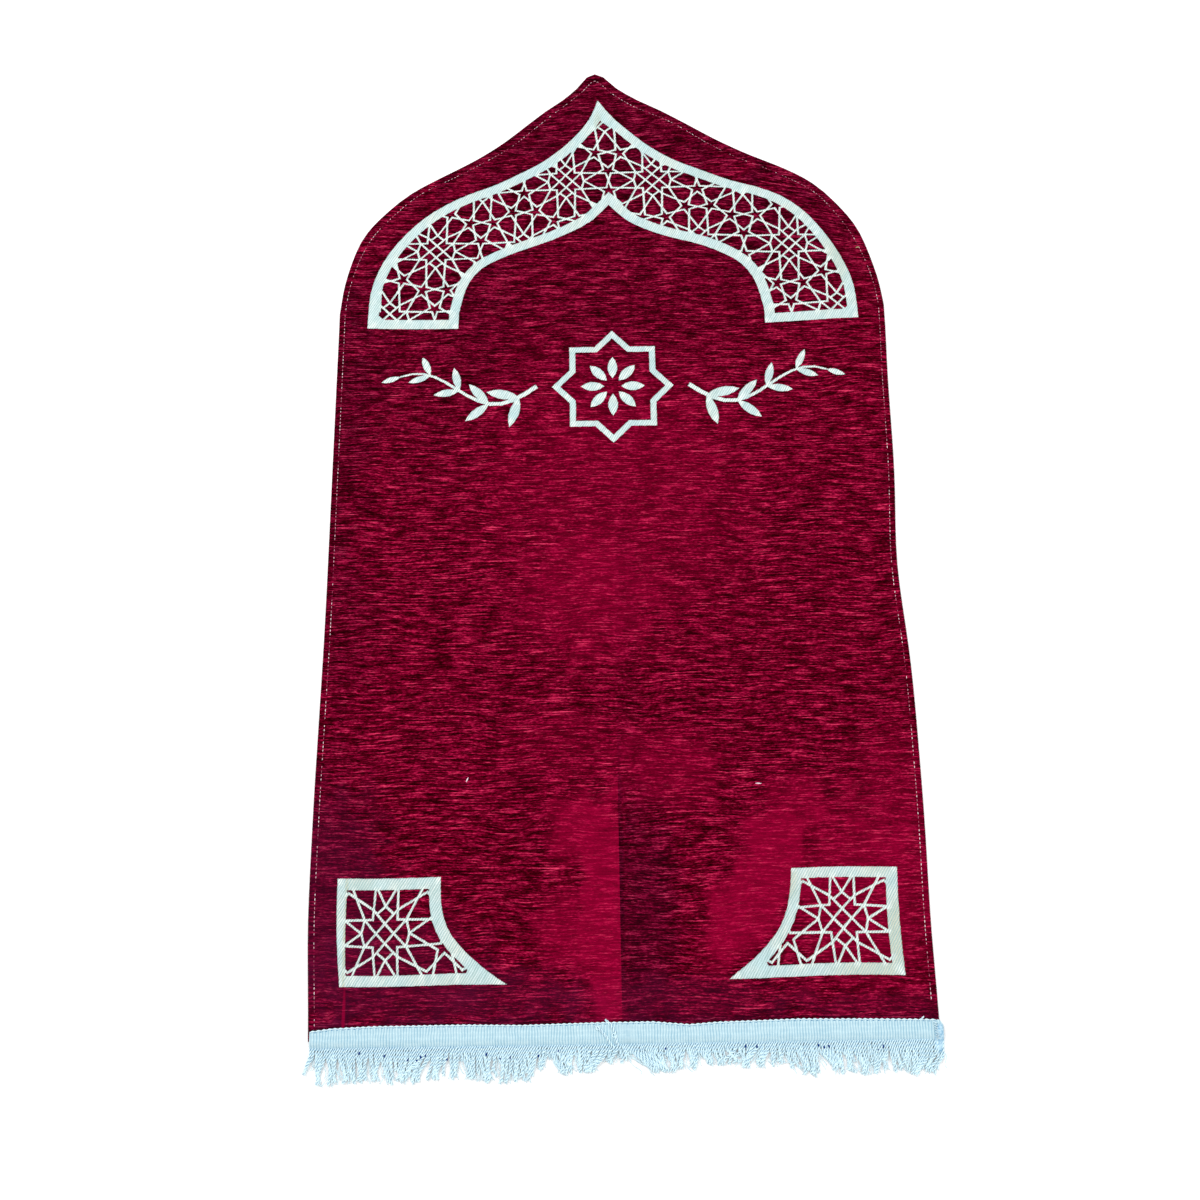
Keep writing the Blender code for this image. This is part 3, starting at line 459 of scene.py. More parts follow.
# painted shade in the grooves between the twill ridges, plus the yarn's own uneven slubs
groove_shade = math(tree, "MULTIPLY", math(tree, "SUBTRACT", 1.0, twill), 0.85)
groove_shade = math(tree, "MULTIPLY_ADD", math(tree, "SUBTRACT", 0.52, slub), 1.2, groove_shade)
tree.links.new(mix_color(tree, groove_shade, cool, GROOVE_SHADE_MINT), shader.inputs["Base Color"])
add_bump(tree, shader, twill, 0.0006)

back_material, tree, shader, position = new_material("rug_back", 0.9)
rows = use_group(tree, thread_ribs, Position=position, Angle=0.0, Pitch=0.0027, Waver=0.4)["Ridge"]
warp = use_group(tree, thread_ribs, Position=position, Angle=radians(90), Pitch=0.0018, Waver=0.2)["Ridge"]
knot = math(tree, "MULTIPLY", rows, warp)
tree.links.new(color_ramp(tree, knot, BACK_REDS), shader.inputs["Base Color"])
add_bump(tree, shader, knot, 0.0005)
print("materials:", figure_material.name, back_material.name)

# %% [markdown]
# ## Reading the cloth from the frame
#
# The frame's cloth is a closed body of triangles. Two search trees, one of its upper faces and one of its
# lower faces, tell how high the cloth is at any place. Pile and figure stand at two heights, so the upper
# faces fall into patches with a step between them, and a patch as thin as the flat weave belongs to the
# figure.

# %% Search trees over the plain cloth
PILE_THICK = 0.0024
FIGURE_THICK = 0.0017
DOWN = Vector((0, 0, -1))

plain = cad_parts["rug_cloth"].data
corners = [vertex.co.copy() for vertex in plain.vertices]
level_faces = [face for face in plain.polygons if abs(face.normal.z) > 0.05]
spots = [tuple(round(value, 5) for value in corner) for corner in corners]
top_spots = {spots[i] for face in level_faces if face.normal.z > 0.5 for i in face.vertices}
is_upper = [all(spots[i] in top_spots for i in face.vertices) for face in level_faces]
upper = [tuple(face.vertices) for face, top in zip(level_faces, is_upper) if top]
lower = [tuple(face.vertices) for face, top in zip(level_faces, is_upper) if not top]
upper_tree = BVHTree.FromPolygons(corners, upper)
lower_tree = BVHTree.FromPolygons(corners, lower)


def look_down(tree, x, y):
    """The height and the number of the face straight below a place, or two Nones off the cloth."""
    for nudge_x, nudge_y in ((0, 0), (3e-5, 1e-5), (-1e-5, 3e-5), (-3e-5, -2e-5), (2e-5, -3e-5)):
        place, _, number, _ = tree.ray_cast(Vector((x + nudge_x, y + nudge_y, 1.0)), DOWN)
        if place is not None:
            return place.z, number
    return None, None


def floor_gap(x, y):
    """How high the cloth's underside is: more than nothing only in a crease."""
    return look_down(lower_tree, x, y)[0] or 0.0


faces_at = {}
for number, face in enumerate(upper):
    for i in face:
        faces_at.setdefault(spots[i], []).append(number)
in_figure = [None] * len(upper)
for first in range(len(upper)):
    if in_figure[first] is not None:
        continue
    patch, waiting = {first}, [first]
    while waiting:
        for i in upper[waiting.pop()]:
            new = set(faces_at[spots[i]]) - patch
            patch |= new
            waiting.extend(new)
    thick = [corners[i].z - floor_gap(corners[i].x, corners[i].y) for number in patch for i in upper[number]]
    is_flat = sum(thick) / len(thick) < 0.5 * (PILE_THICK + FIGURE_THICK)
    for number in patch:
        in_figure[number] = is_flat


def on_pile(x, y):
    """Whether a place lies on the red pile."""
    number = look_down(upper_tree, x, y)[1]
    return number is not None and not in_figure[number]


print("upper faces:", len(upper), "of the figure:", sum(in_figure))

# %% [markdown]
# Next come the cloth's lines: its rim, and the edges of the figure. Both are sides of the upper faces. A
# side with a face on one side only is rim, and one between pile and figure is a figure edge. Corners of
# both heights are matched by their place on the floor.


# %% Rim and figure edges
def search_tree(points):
    """A search tree over places on the floor."""
    places = KDTree(len(points))
    for i, point in enumerate(points):
        places.insert((point.x, point.y, 0), i)
    places.balance()
    return places


flat = search_tree(corners)
place_of = list(range(len(corners)))
for _ in range(3):
    for corner in corners:
        same = [i for _, i, _ in flat.find_range((corner.x, corner.y, 0), 3e-5)]
        lowest = min(place_of[i] for i in same)
        for i in same:
            place_of[i] = lowest

kinds = {}
for face, figure in zip(upper, in_figure):
    numbers = [place_of[i] for i in face]
    for start, end in zip(numbers, numbers[1:] + numbers[:1]):
        kinds.setdefault(frozenset((start, end)), []).append(figure)
rim_sides = [tuple(side) for side, found in kinds.items() if len(found) == 1 and len(side) == 2]
figure_sides = [tuple(side) for side, found in kinds.items() if len(side) == 2 and len(set(found)) == 2]

neighbours = {}
for start, end in rim_sides:
    neighbours.setdefault(start, []).append(end)
    neighbours.setdefault(end, []).append(start)
rim_loop = [rim_sides[0][0], rim_sides[0][1]]
while rim_loop[-1] != rim_loop[0]:
    ahead = [i for i in neighbours[rim_loop[-1]] if i != rim_loop[-2]]
    rim_loop.append(ahead[0])
rim = [corners[i].to_2d() for i in rim_loop[:-1]]
if sum(a.cross(b) for a, b in zip(rim, rim[1:] + rim[:1])) < 0:
    rim.reverse()
print("rim corners:", len(rim), "figure sides:", len(figure_sides))

# %% [markdown]
# ## The cloth
#
# A fresh triangle net over the same lines gives the cloth enough corners to be uneven. Figure edges are cut
# into steps of one yarn, and each step is pushed a little, because a woven edge can only change from row to
# row. Rings of points along the rim round off the turned hem, and a grid fills the rest.


# %% Points and lines for the cloth's net
RIM_STEP = 0.0060
FIGURE_STEP = 0.0026
GRID_STEP = 0.0080
HEM_RINGS = (0.0008, 0.0018, 0.0050, 0.0085, 0.0110)
WOVEN_STEP = 0.00045


def divided(start, end, step):
    """Points from start up to but not including end."""
    count = max(1, round((end - start).length / step))
    return [start.lerp(end, i / count) for i in range(count)]


def moved_in(before, point, after, depth):
    """A point moved in from the rim, square to its neighbours."""
    along = (after - before).normalized()
    return point + Vector((-along.y, along.x)) * depth


net_points, net_lines, number_at = [], [], {}


def net_number(point):
    """The number of a point in the net, added if it is new."""
    name = (round(point.x, 7), round(point.y, 7))
    if name not in number_at:
        number_at[name] = len(net_points)
        net_points.append(point)
    return number_at[name]


def net_line(points):
    """Draws a line through points."""
    numbers = [net_number(point) for point in points]
    net_lines.extend(zip(numbers, numbers[1:]))
    return numbers


rim_fine = [point for start, end in zip(rim, rim[1:] + rim[:1]) for point in divided(start, end, RIM_STEP)]
rim_numbers = set(net_line(rim_fine + rim_fine[:1]))
edge_numbers = set()
for start, end in figure_sides:
    start, end = corners[start].to_2d(), corners[end].to_2d()
    edge_numbers.update(net_line(divided(start, end, FIGURE_STEP) + [end]))

near = search_tree(net_points)
inner_points = []
for before, point, after in zip(rim_fine[-1:] + rim_fine, rim_fine, rim_fine[1:] + rim_fine[:1]):
    for depth in HEM_RINGS:
        ring_point = moved_in(before, point, after, depth)
        if near.find((ring_point.x, ring_point.y, 0))[2] > 0.8 * min(depth, 0.004):
            inner_points.append(ring_point)
low, high = cad_box[0], cad_box[1]
for row in range(ceil((high[1] - low[1]) / GRID_STEP)):
    for column in range(ceil((high[0] - low[0]) / GRID_STEP)):
        x = low[0] + (column + 0.5 * (row % 2)) * GRID_STEP
        y = low[1] + row * GRID_STEP
        if near.find((x, y, 0))[2] > 0.0035 and look_down(upper_tree, x, y)[0]:
            inner_points.append(Vector((x, y)))
for point in inner_points:
    net_number(point)
print("net points:", len(net_points), "lines:", len(net_lines))

# %% [markdown]
# The net's triangles are sorted into pile and figure by what lies under their middles in the frame. Where
# the two meet, a corner exists twice, once at each height, and a small wall joins them. The underside
# repeats the net, and a wall along the rim closes the body.


# %% Build the cloth
def woven_shift(x, y):
    """The small sideways step of a woven edge."""
    return Vector([noise.noise((x * 420, y * 420, seed)) for seed in (3.1, 9.7)]) * WOVEN_STEP


def pile_swell(x, y):
    """How much higher or lower the pile is than its usual height."""
    return 0.00022 * noise.noise((x * 60, y * 160, 0.5)) + 0.00015 * noise.noise((x * 14, y * 14, 4.0))


net_places, _, net_faces, sources, _, _ = delaunay_2d_cdt(net_points, net_lines, [], 0, 1e-6, True)
on_edge = [any(i in edge_numbers for i in found) for found in sources]
on_rim = [any(i in rim_numbers for i in found) for found in sources]

TUCK_X, TUCK_Y = -0.3135, -0.5350  # the lower left corner of the figure
TUCK = 0.0045  # how far the fold there has drawn the cloth in
STRETCH = 0.0050  # how far the cloth has pulled the right corner piece out, towards the middle


def fade(value, start, full):
    """Goes evenly from 0 at the first value to 1 at the second."""
    return min(1.0, max(0.0, (value - start) / (full - start)))


def ease(value, start, full):
    """The same, but gently at both ends."""
    part = fade(value, start, full)
    return part * part * (3 - 2 * part)


def tucked(x, y):
    """The x of a place: drawn in by the fold at the left corner, and pulled out at the right corner piece."""
    across = max(0.0, 1 - (x - TUCK_X) / 0.0105 if x > TUCK_X else 1 - (TUCK_X - x) / 0.0200)
    along = max(0.0, 1 - (y - TUCK_Y) / 0.1200 if y > TUCK_Y else 1 - (TUCK_Y - y) / 0.0300)
    pulled = fade(x, 0.060, 0.105) * fade(x, 0.300, 0.190) * fade(y, -0.570, -0.530) * fade(y, -0.360, -0.402)
    return x + TUCK * across * along - STRETCH * pulled


cloth = bmesh.new()
strand_layer = cloth.verts.layers.float.new("strand")
made = {}


def cloth_corner(i, level):
    """The cloth's corner at a net point, on the pile, figure or back."""
    if (i, level) in made:
        return made[i, level]
    x, y = net_places[i]
    gap = floor_gap(x, y)
    if level == "back":
        z = gap
    elif level == "figure":
        z = gap + FIGURE_THICK
    elif on_edge[i]:
        z = gap + PILE_THICK + pile_swell(x, y)
    else:
        z = (look_down(upper_tree, x, y)[0] or gap + 0.0015) + (0 if on_rim[i] else pile_swell(x, y))
    shift = woven_shift(x, y) if on_edge[i] else Vector((0, 0))
    made[i, level] = cloth.verts.new((tucked(x, y) + shift.x, y + shift.y, z))
    return made[i, level]


def is_strand(x, y):
    """Whether a place in the figure has pile close by on both sides, as in a strand of the lattice."""
    for reach_x, reach_y in ((0.0050, 0.0), (0.0, 0.0050), (0.0036, 0.0036), (0.0036, -0.0036)):
        if on_pile(x + reach_x, y + reach_y) and on_pile(x - reach_x, y - reach_y):
            return True
    return False


def is_outside(face):
    """Whether a face only bridges corners of the rim that lie far apart."""
    places = [net_places[i] for i in face]
    longest = max((end - start).length for start, end in zip(places, places[1:] + places[:1]))
    return all(on_rim[i] for i in face) and longest > 2.5 * RIM_STEP


sides_found = {}
for face in net_faces:
    middle = sum((net_places[i] for i in face), Vector((0, 0))) / 3
    number = look_down(upper_tree, middle.x, middle.y)[1]
    if number is None or is_outside(face):
        continue
    level = "figure" if in_figure[number] else "pile"
    top = cloth.faces.new([cloth_corner(i, level) for i in face])
    top.material_index = 1 if level == "figure" else 0
    if level == "figure" and is_strand(middle.x, middle.y):
        for corner in top.verts:
            corner[strand_layer] = 1.0
    back = cloth.faces.new([cloth_corner(i, "back") for i in reversed(face)])
    back.material_index = 2
    for start, end in zip(face, face[1:] + face[:1]):
        sides_found[start, end] = level
for (start, end), level in sides_found.items():
    other = sides_found.get((end, start), "back")
    if other == "back" or (level, other) == ("pile", "figure"):
        wall = [(end, level), (start, level), (start, other), (end, other)]
        cloth.faces.new([cloth_corner(*corner) for corner in wall])


def place_piece(name, mesh, materials, slot, *nodes, smooth=True):
    """Turns a bmesh into a piece that rides on the rug and stands for nodes of the frame."""
    data = bpy.data.meshes.new(name)
    mesh.to_mesh(data)
    mesh.free()
    for material in materials:
        data.materials.append(material)
    data.polygons.foreach_set("use_smooth", [smooth] * len(data.polygons))
    piece = add_object(name, data)
    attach(piece, "root")
    if nodes:
        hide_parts(*nodes)
    data.calc_loop_triangles()
    print(name, "triangles:", len(data.loop_triangles))
    return piece


cloth_materials = (pile_material, figure_material, back_material)
rug = place_piece("rug_cloth_sheet", cloth, cloth_materials, "chenille_red", "rug_cloth", smooth=False)

# %% [markdown]
# ## Chenille yarns
#
# Up close the ground isn't flat: every row of weft shows as a line of soft raised yarns that swell and
# taper. A particle system could scatter them, but they must stop at the figure and follow the slanting
# rows, so each is a small lens-shaped body, laid along its row wherever the search tree finds pile on both
# sides of it.


# %% Where the rows run
ROW_PITCH = 0.00275
ROW_STEP = 0.002


def row_height(x, level):
    """The y of a weft row at x: the rows slant down on the right of the arch, and waver everywhere."""
    slant = SLANT * ease(level, SLANT_LOW, SLANT_HIGH)
    waver = 0.0016 * noise.noise((x * 16, level * 22, 1.7)) + 0.0009 * noise.noise((x * 60, level * 60, 5.1))
    return level - max(0.0, x - SLANT_FROM) * slant + waver


def free_runs(level):
    """Stretches of a row, as lists of places, that have pile on both sides."""
    runs, run = [], []
    x = low[0]
    while x < high[0]:
        y = row_height(x, level)
        if on_pile(x, y + 0.0008) and on_pile(x, y - 0.0008):
            run.append(x)
        elif run:
            runs.append(run)
            run = []
        x += ROW_STEP
    return [found for found in runs + [run] if len(found) > 2]


levels = [low[1] + 0.012 + i * ROW_PITCH for i in range(round((high[1] - low[1] + 0.06) / ROW_PITCH))]
row_runs = [(level, run) for level in levels for run in free_runs(level)]
print("rows:", len(levels), "free stretches:", len(row_runs))

# %% [markdown]
# Each yarn body has sections of three corners, a crown and two sides that are sunk in the pile, and it
# comes to a point at both ends. Its own tone is kept as an attribute, which the chenille material adds to
# its flecks.


# %% Lay the yarns
YARN_SINK = 0.00025
SHORT_YARN = 0.010
LONG_YARN = 6  # how many times as long a long one is
THIN_EVERY = 0.055  # metres of row for each thin yarn on top, lighter as a painted highlight
THIN_WIDTH = 0.0008
THIN_HEIGHT = 0.00065


def lay_yarn(mesh, tones, start, end, level, aside, width, height, tone):
    """One lens-shaped yarn along a row, from x start to x end."""
    steps = max(2, round((end - start) / 0.008))
    ring_before = None
    for i in range(steps + 1):
        share = i / steps
        x = start + (end - start) * share
        y = row_height(x, level) + aside
        place, normal, _, _ = upper_tree.ray_cast(Vector((x, y, 1.0)), DOWN)
        if place is None:
            continue
        z = place.z + pile_swell(x, y)
        swell = sin(pi * share) ** 0.6 if 0 < i < steps else 0.0
        if swell == 0.0:
            ring = [mesh.verts.new((tucked(x, y), y, z))]
        else:
            half = 0.5 * width * swell
            tilt = normal.y / normal.z
            ring = [
                mesh.verts.new((tucked(x, y), y - half, z + tilt * half - YARN_SINK)),
                mesh.verts.new((tucked(x, y), y, z + height * swell)),
                mesh.verts.new((tucked(x, y), y + half, z - tilt * half - YARN_SINK)),
            ]
        for corner in ring:
            corner[tones] = tone
        if ring_before is not None:
            join_rings(mesh, ring_before, ring)
        ring_before = ring


def join_rings(mesh, first, second):
    """Faces between two sections, where either may be a single point."""
    count = max(len(first), len(second))
    if count == 1:
        return
    for i in range(count):
        j = (i + 1) % count
        if len(first) == 1:
            mesh.faces.new((first[0], second[j], second[i]))
        elif len(second) == 1:
            mesh.faces.new((first[i], first[j], second[0]))
        else:
            mesh.faces.new((first[i], first[j], second[j], second[i]))


chance = random.Random(11)
for half_name, is_upper_half in (("upper", True), ("lower", False)):
    yarns = bmesh.new()
    tones = yarns.verts.layers.float.new("yarn_tone")
    for level, run in row_runs:
        if (level >= 0) != is_upper_half:
            continue
        x = run[0]
        while x < run[-1] - 0.003:
            end = min(run[-1], x + SHORT_YARN * LONG_YARN ** chance.random())
            aside = chance.uniform(-0.00035, 0.00035)
            width = chance.uniform(0.0019, 0.0027)
            height = chance.uniform(0.0003, 0.0005)
            lay_yarn(yarns, tones, x, end, level, aside, width, height, chance.gauss(0, 0.055))
            x = end + chance.uniform(-0.001, 0.002)
        for _ in range(round((run[-1] - run[0]) / THIN_EVERY + chance.random())):
            x = chance.uniform(run[0], run[-1])
            end = x + chance.uniform(0.005, 0.020)
            if end < run[-1]:
                aside = chance.uniform(-0.0010, 0.0010)
                # the thin yarns are lighter in tone: painted highlights along the rows
                tone = chance.uniform(0.14, 0.28)
                lay_yarn(yarns, tones, x, end, level, aside, THIN_WIDTH, THIN_HEIGHT, tone)
    place_piece("chenille_yarns_" + half_name, yarns, (yarn_material,), "chenille_red")

# %% [markdown]
# ## Hem stitches
#
# The rim is turned under and sewn down with a pale thread. From above each stitch is a thin dash that dips
# into the pile at both ends. The seam's line comes from the rim, moved inwards, and farther in round the
# arch.

# %% Hem stitches
HEM_STITCH = 0.0072
WIDER_HEM = 0.0032  # how much farther in the seam runs round the arch
HEM_WANDER = 0.0030
ARCH_LOW, ARCH_HIGH = 0.30, 0.42  # where the arch begins, and where the seam is all the way in
SEAM_END = -0.574  # the tape hides it below
SEAM_STEP = 0.0001
STITCH_PITCH = 0.0047
STITCH_RADIUS, ARCH_STITCH_RADIUS = 0.00042, 0.00034
THREAD_PINKS = ((0.38, 0.24, 0.02, 0.06), (0.50, 0.50, 0.20, 0.27), (0.62, 0.88, 0.72, 0.74))

thread_material, tree, shader, position = new_material("hem_thread", 0.7)
fibre = noise_of(tree, position, 120.0, 4.0)
tree.links.new(color_ramp(tree, fibre, THREAD_PINKS), shader.inputs["Base Color"])
add_bump(tree, shader, fibre, 0.0002)


def along_line(points, step):
    """Points at one spacing along an open line."""
    found, left = [points[0]], step
    for start, end in zip(points, points[1:]):
        length = (end - start).length
        done = 0.0
        while length - done >= left:
            done += left
            found.append(start.lerp(end, done / length))
            left = step
        left -= length - done
    return found


def tube(mesh, points, radii, sides=6, flat=1.0):
    """A closed tube through points, with a radius at each: a thread, a cord or a stitch."""
    rings = []
    for i, point in enumerate(points):
        ahead = (points[min(i + 1, len(points) - 1)] - points[max(i - 1, 0)]).normalized()
        side = ahead.cross(Vector((0, 0, 1))).normalized()
        top = side.cross(ahead)
        turns = [2 * pi * k / sides for k in range(sides)]
        places = [point + (side * cos(turn) + top * sin(turn) * flat) * radii[i] for turn in turns]
        rings.append([mesh.verts.new(place) for place in places])
    for first, second in zip(rings, rings[1:]):
        join_rings(mesh, first, second)
    mesh.faces.new(rings[0][::-1])
    mesh.faces.new(rings[-1])
    return rings


def paint(rings, layer, value):
    """Gives every corner of a tube one value."""
    for ring in rings:
        for corner in ring:
            corner[layer] = value


bottom = min(rim, key=lambda p: p.y).y + 0.002
first = next(i for i in range(len(rim)) if rim[i - 1].y < bottom <= rim[i].y)
open_rim = along_line(rim[first:] + rim[:first], 0.001)
seam = []
for before, point, after in zip(open_rim, open_rim[4:], open_rim[8:]):
    wander = HEM_WANDER * noise.noise((point.x * 14, point.y * 14, 5.0))
    depth = HEM_STITCH + fade(point.y, ARCH_LOW, ARCH_HIGH) * (WIDER_HEM + wander)
    inward = moved_in(before, point, after, depth)
    if near.find((inward.x, inward.y, 0))[2] > 0.8 * HEM_STITCH and inward.y > SEAM_END:
        seam.append(inward)
seam = along_line(seam, SEAM_STEP)
stitches = bmesh.new()
step = round(STITCH_PITCH / SEAM_STEP)
for i in range(0, len(seam) - step, step):
    length = chance.uniform(0.0020, 0.0032)
    if chance.random() < 0.08:
        continue
    points, radii = [], []
    for k in range(5):
        spot = seam[i + round(k / 4 * length / SEAM_STEP)]
        height = look_down(upper_tree, spot.x, spot.y)[0] or 0
        points.append(Vector((spot.x, spot.y, height + 0.00045 * sin(pi * k / 4) + 0.0001)))
        radius = STITCH_RADIUS if spot.y < ARCH_LOW else ARCH_STITCH_RADIUS
        radii.append(radius * (0.6 + 0.4 * sin(pi * k / 4)))
    tube(stitches, points, radii, flat=0.8)
hem_stitches = place_piece("hem_stitches", stitches, (thread_material,), "chenille_red")

# %% [markdown]
# ## Heading tape
#
# The fringe hangs from a narrow woven tape that is sewn over the cut end of the cloth. Fine ribs run down
# it, and its upper edge is a chain of small loops. A plane with a bump would look flat at the edge, so the
# ribs and the loops are in the mesh: columns of corners an eighth of a rib apart.

# %% The tape's lines in the plain model
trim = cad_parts["fringe_trim"].data
trim_corners = [vertex.co.copy() for vertex in trim.vertices]
TAPE_FOOT = -0.5932
edge_corners = sorted((c for c in trim_corners if c.y > -0.580), key=lambda c: c.x)
under_line = {}
for corner in edge_corners:
    found = under_line.setdefault(round(corner.x, 4), [corner.y, corner.z, corner.z])
    found[1], found[2] = min(found[1], corner.z), max(found[2], corner.z)
tape_line = [(x, *found) for x, found in sorted(under_line.items()) if found[2] > found[1] + 0.0005]
TAPE_LEFT = tape_line[0][0] + 0.0022  # both ends turn under a little
TAPE_RIGHT = tape_line[-1][0] - 0.0027


def tape_at(x):
    """The tape's upper edge, and its underside and top over the cloth, at x."""
    for first, second in zip(tape_line, tape_line[1:]):
        if x <= second[0]:
            part = (x - first[0]) / (second[0] - first[0])
            return [a + part * (b - a) for a, b in zip(first[1:], second[1:])]
    return tape_line[-1][1:]


print("tape from", TAPE_LEFT, "to", TAPE_RIGHT, "with", len(tape_line), "places")

# %% [markdown]
# The right end was folded back on itself before it was sewn, so it is thicker and rounder there. Near the
# middle the two ends of the tape meet, and the ribs are pressed flat beside the join. Each corner keeps how
# far up its rib it is, as the attribute `thread_height`, and the material paints shade into the grooves as a
# deeper blue.

# %% Build the tape
RIB_PITCH = 0.0030
RIB_HEIGHT = 0.00035
TAPE_BEND = -0.5872  # where the tape leaves the cloth and slopes to the floor
FOLD_BACK = 0.3285  # from here on the tape lies double
FOLD_RISE = 0.0007
FOOT_HEIGHT = 0.0020  # the tape's top along its lower edge
LOOP_HEIGHT = 0.0009
PRESSED_WIDTH = 0.010  # how far the ribs are pressed flat beside the join
JOIN_X = -0.0040
TAPE_ROWS = (0.0, 0.03, 0.09, 0.2, 0.32, 0.44, 0.56, 0.68, 0.76, 0.86, 0.95, 1.0)  # shares of its width
TAPE_BLUES = (0.27, 0.45, 0.55), (0.47, 0.63, 0.69)  # painted shade of the grooves, and the ridges
PICK_HIGHLIGHT_BLUE = (0.62, 0.80, 0.82, 1)


def blue_yarn(name, groove_shades, ridges, fibre_scale):
    """Pale blue yarn whose grooves, as the attribute thread_height tells, get a painted shade of deeper blue.
    """
    material, tree, shader, position = new_material(name, 0.8, 0.05)
    height = node(tree, "ShaderNodeAttribute", attribute_name="thread_height").outputs["Fac"]
    fibre = noise_of(tree, position, fibre_scale, 2.0)
    uneven = math(tree, "MULTIPLY_ADD", math(tree, "SUBTRACT", fibre, 0.5), 0.9, height)
    middle = tuple(0.3 * groove_shade + 0.7 * ridge for groove_shade, ridge in zip(groove_shades, ridges))
    stops = ((0.0, *groove_shades), (0.45, *middle), (1.0, *ridges))
    add_bump(tree, shader, fibre, 0.0002)
    return material, tree, shader, position, color_ramp(tree, uneven, stops), height


tape_material, tree, shader, position, blue, height = blue_yarn("tape_blue", *TAPE_BLUES, 160.0)
# painted highlights on the weft picks at the tops of the ribs
pick_highlight = use_group(tree, thread_ribs, Position=position, Angle=0.0, Pitch=0.0052, Waver=1.0)["Ridge"]
pick_highlight = math(tree, "MULTIPLY", math(tree, "POWER", pick_highlight, 3.0), math(tree, "MULTIPLY", height, 0.35))
tree.links.new(mix_color(tree, pick_highlight, blue, PICK_HIGHLIGHT_BLUE), shader.inputs["Base Color"])

tape = bmesh.new()
heights = tape.verts.layers.float.new("thread_height")
columns = round((TAPE_RIGHT - TAPE_LEFT) / (RIB_PITCH / 8))
tape_columns = []
for i in range(columns + 1):
    x = TAPE_LEFT + (TAPE_RIGHT - TAPE_LEFT) * i / columns
    top_edge, under, over = tape_at(x)
    loop = abs(sin(pi * x / (2 * RIB_PITCH)))
    rounding = max(0.0, 1 - (TAPE_RIGHT - x) / 0.006)
    top_edge += LOOP_HEIGHT * loop - 0.0005 - 0.0045 * rounding**2
    pressed = exp(-(((x - JOIN_X - 0.008) / PRESSED_WIDTH) ** 2))
    folded = FOLD_RISE * fade(x, FOLD_BACK, FOLD_BACK + 0.0006)
    rows = []
    for share in TAPE_ROWS:
        y = top_edge + (TAPE_FOOT - top_edge) * share
        z = over + (FOOT_HEIGHT - over) * fade(y, TAPE_BEND, TAPE_FOOT)
        phase = (x + 0.0010 * noise.noise((x * 60, y * 110, 2.0))) / RIB_PITCH
        rib = (0.5 - 0.5 * cos(2 * pi * phase)) * (1 - 0.85 * pressed) + 0.3 * pressed
        z += RIB_HEIGHT * rib + folded + 0.0002 * noise.noise((x * 40, y * 90, 7.0))
        if share == 0.0:
            z = 0.5 * (under + z)
        rows.append(((x, y, z), rib))
    base = [(x, TAPE_FOOT + 0.0001, 0.0001), (x, TAPE_BEND + 0.0003, under), (x, top_edge + 0.0001, under)]
    column = []
    for corner, rib in rows + [(corner, 0.0) for corner in base]:
        column.append(tape.verts.new(corner))
        column[-1][heights] = rib
    tape_columns.append(column)
for first, second in zip(tape_columns, tape_columns[1:]):
    join_rings(tape, second, first)
tape.faces.new(tape_columns[0])
tape.faces.new(tape_columns[-1][::-1])
tape_tree = BVHTree.FromBMesh(tape)
heading_tape = place_piece("heading_tape", tape, (tape_material,), "trim_blue", "fringe_trim")


def surface(x, y):
    """The height of the tape, the cloth or the floor at a place."""
    place = tape_tree.ray_cast(Vector((x, y, 1.0)), DOWN)[0]
    return place.z if place is not None else look_down(upper_tree, x, y)[0] or 0.0


# %% [markdown]
# ## Fringe cords
#
# Each cord is two plies twisted together. They leave the tape side by side, then cling in locks that lean
# to either side, so that the floor shows between them. The table was read from a photograph. It gives each
# lock's left end, how far its tips lean and how far down they reach, in millimetres, and the cords are
# shared out between the locks. A short layer below them closes the gaps beside the tape, as the loops of
# the real fringe do, and single threads that have come loose wander between.

# %% Fringe locks
LOCKS = (
    # (left end, lean, reach)
    (-338, -8, -619), (-332, -1, -631), (-320, 1, -631), (-307, 4, -630), (-297, 1, -629), (-288, 3, -630),
    (-274, 2, -630), (-261, 2, -630), (-248, 1, -629), (-237, -2, -628), (-228, -9, -630), (-207, -8, -626),
    (-188, -1, -626), (-176, 7, -626), (-163, 6, -629), (-152, 2, -631), (-137, 1, -631), (-127, 2, -630),
    (-114, -2, -630), (-104, -4, -628), (-92, -4, -620), (-80, 9, -625), (-64, -1, -623), (-54, 0, -621),
    (-43, -5, -621), (-34, -13, -621), (-18, -2, -612), (-6, 1, -612), (4, 26, -623), (16, 18, -624),
    (31, 5, -623), (42, 3, -623), (54, 0, -622), (65, 3, -621), (78, 4, -616), (93, 4, -616), (107, 0, -615),
    (121, 0, -620), (130, -4, -621), (142, -4, -620), (156, -3, -618), (163, -1, -616), (172, 5, -624),
    (183, 6, -626), (195, 2, -629), (207, 15, -622), (219, 6, -626), (232, 4, -625), (245, 6, -629),
    (259, 4, -627), (271, 1, -627), (283, 5, -626), (293, 5, -625), (304, 1, -628), (314, -4, -630),
    (325, -8, -630), (334, -12, -627),
)  # fmt: skip
RIGHT_END = 343  # of the last lock
CORD_PITCH = 0.0027
PLY_RADIUS = 0.00074
PLY_OFFSET = 0.00080
TWIST = 0.0084  # length of one full turn
SECTION = 0.00070
STRAIGHT = 0.22  # the share of a cord that hangs straight below the tape
STRAIGHT_AT_END = 0.50  # the same below the folded end of the tape
END_LOCKS = 3  # how many locks hang from that end
HALF = 28  # how many locks are left of the join
LEAN_DONE = 0.98  # the share of a cord by which its lean is complete
REST_HEIGHT = 0.0016  # of a cord's middle over the floor
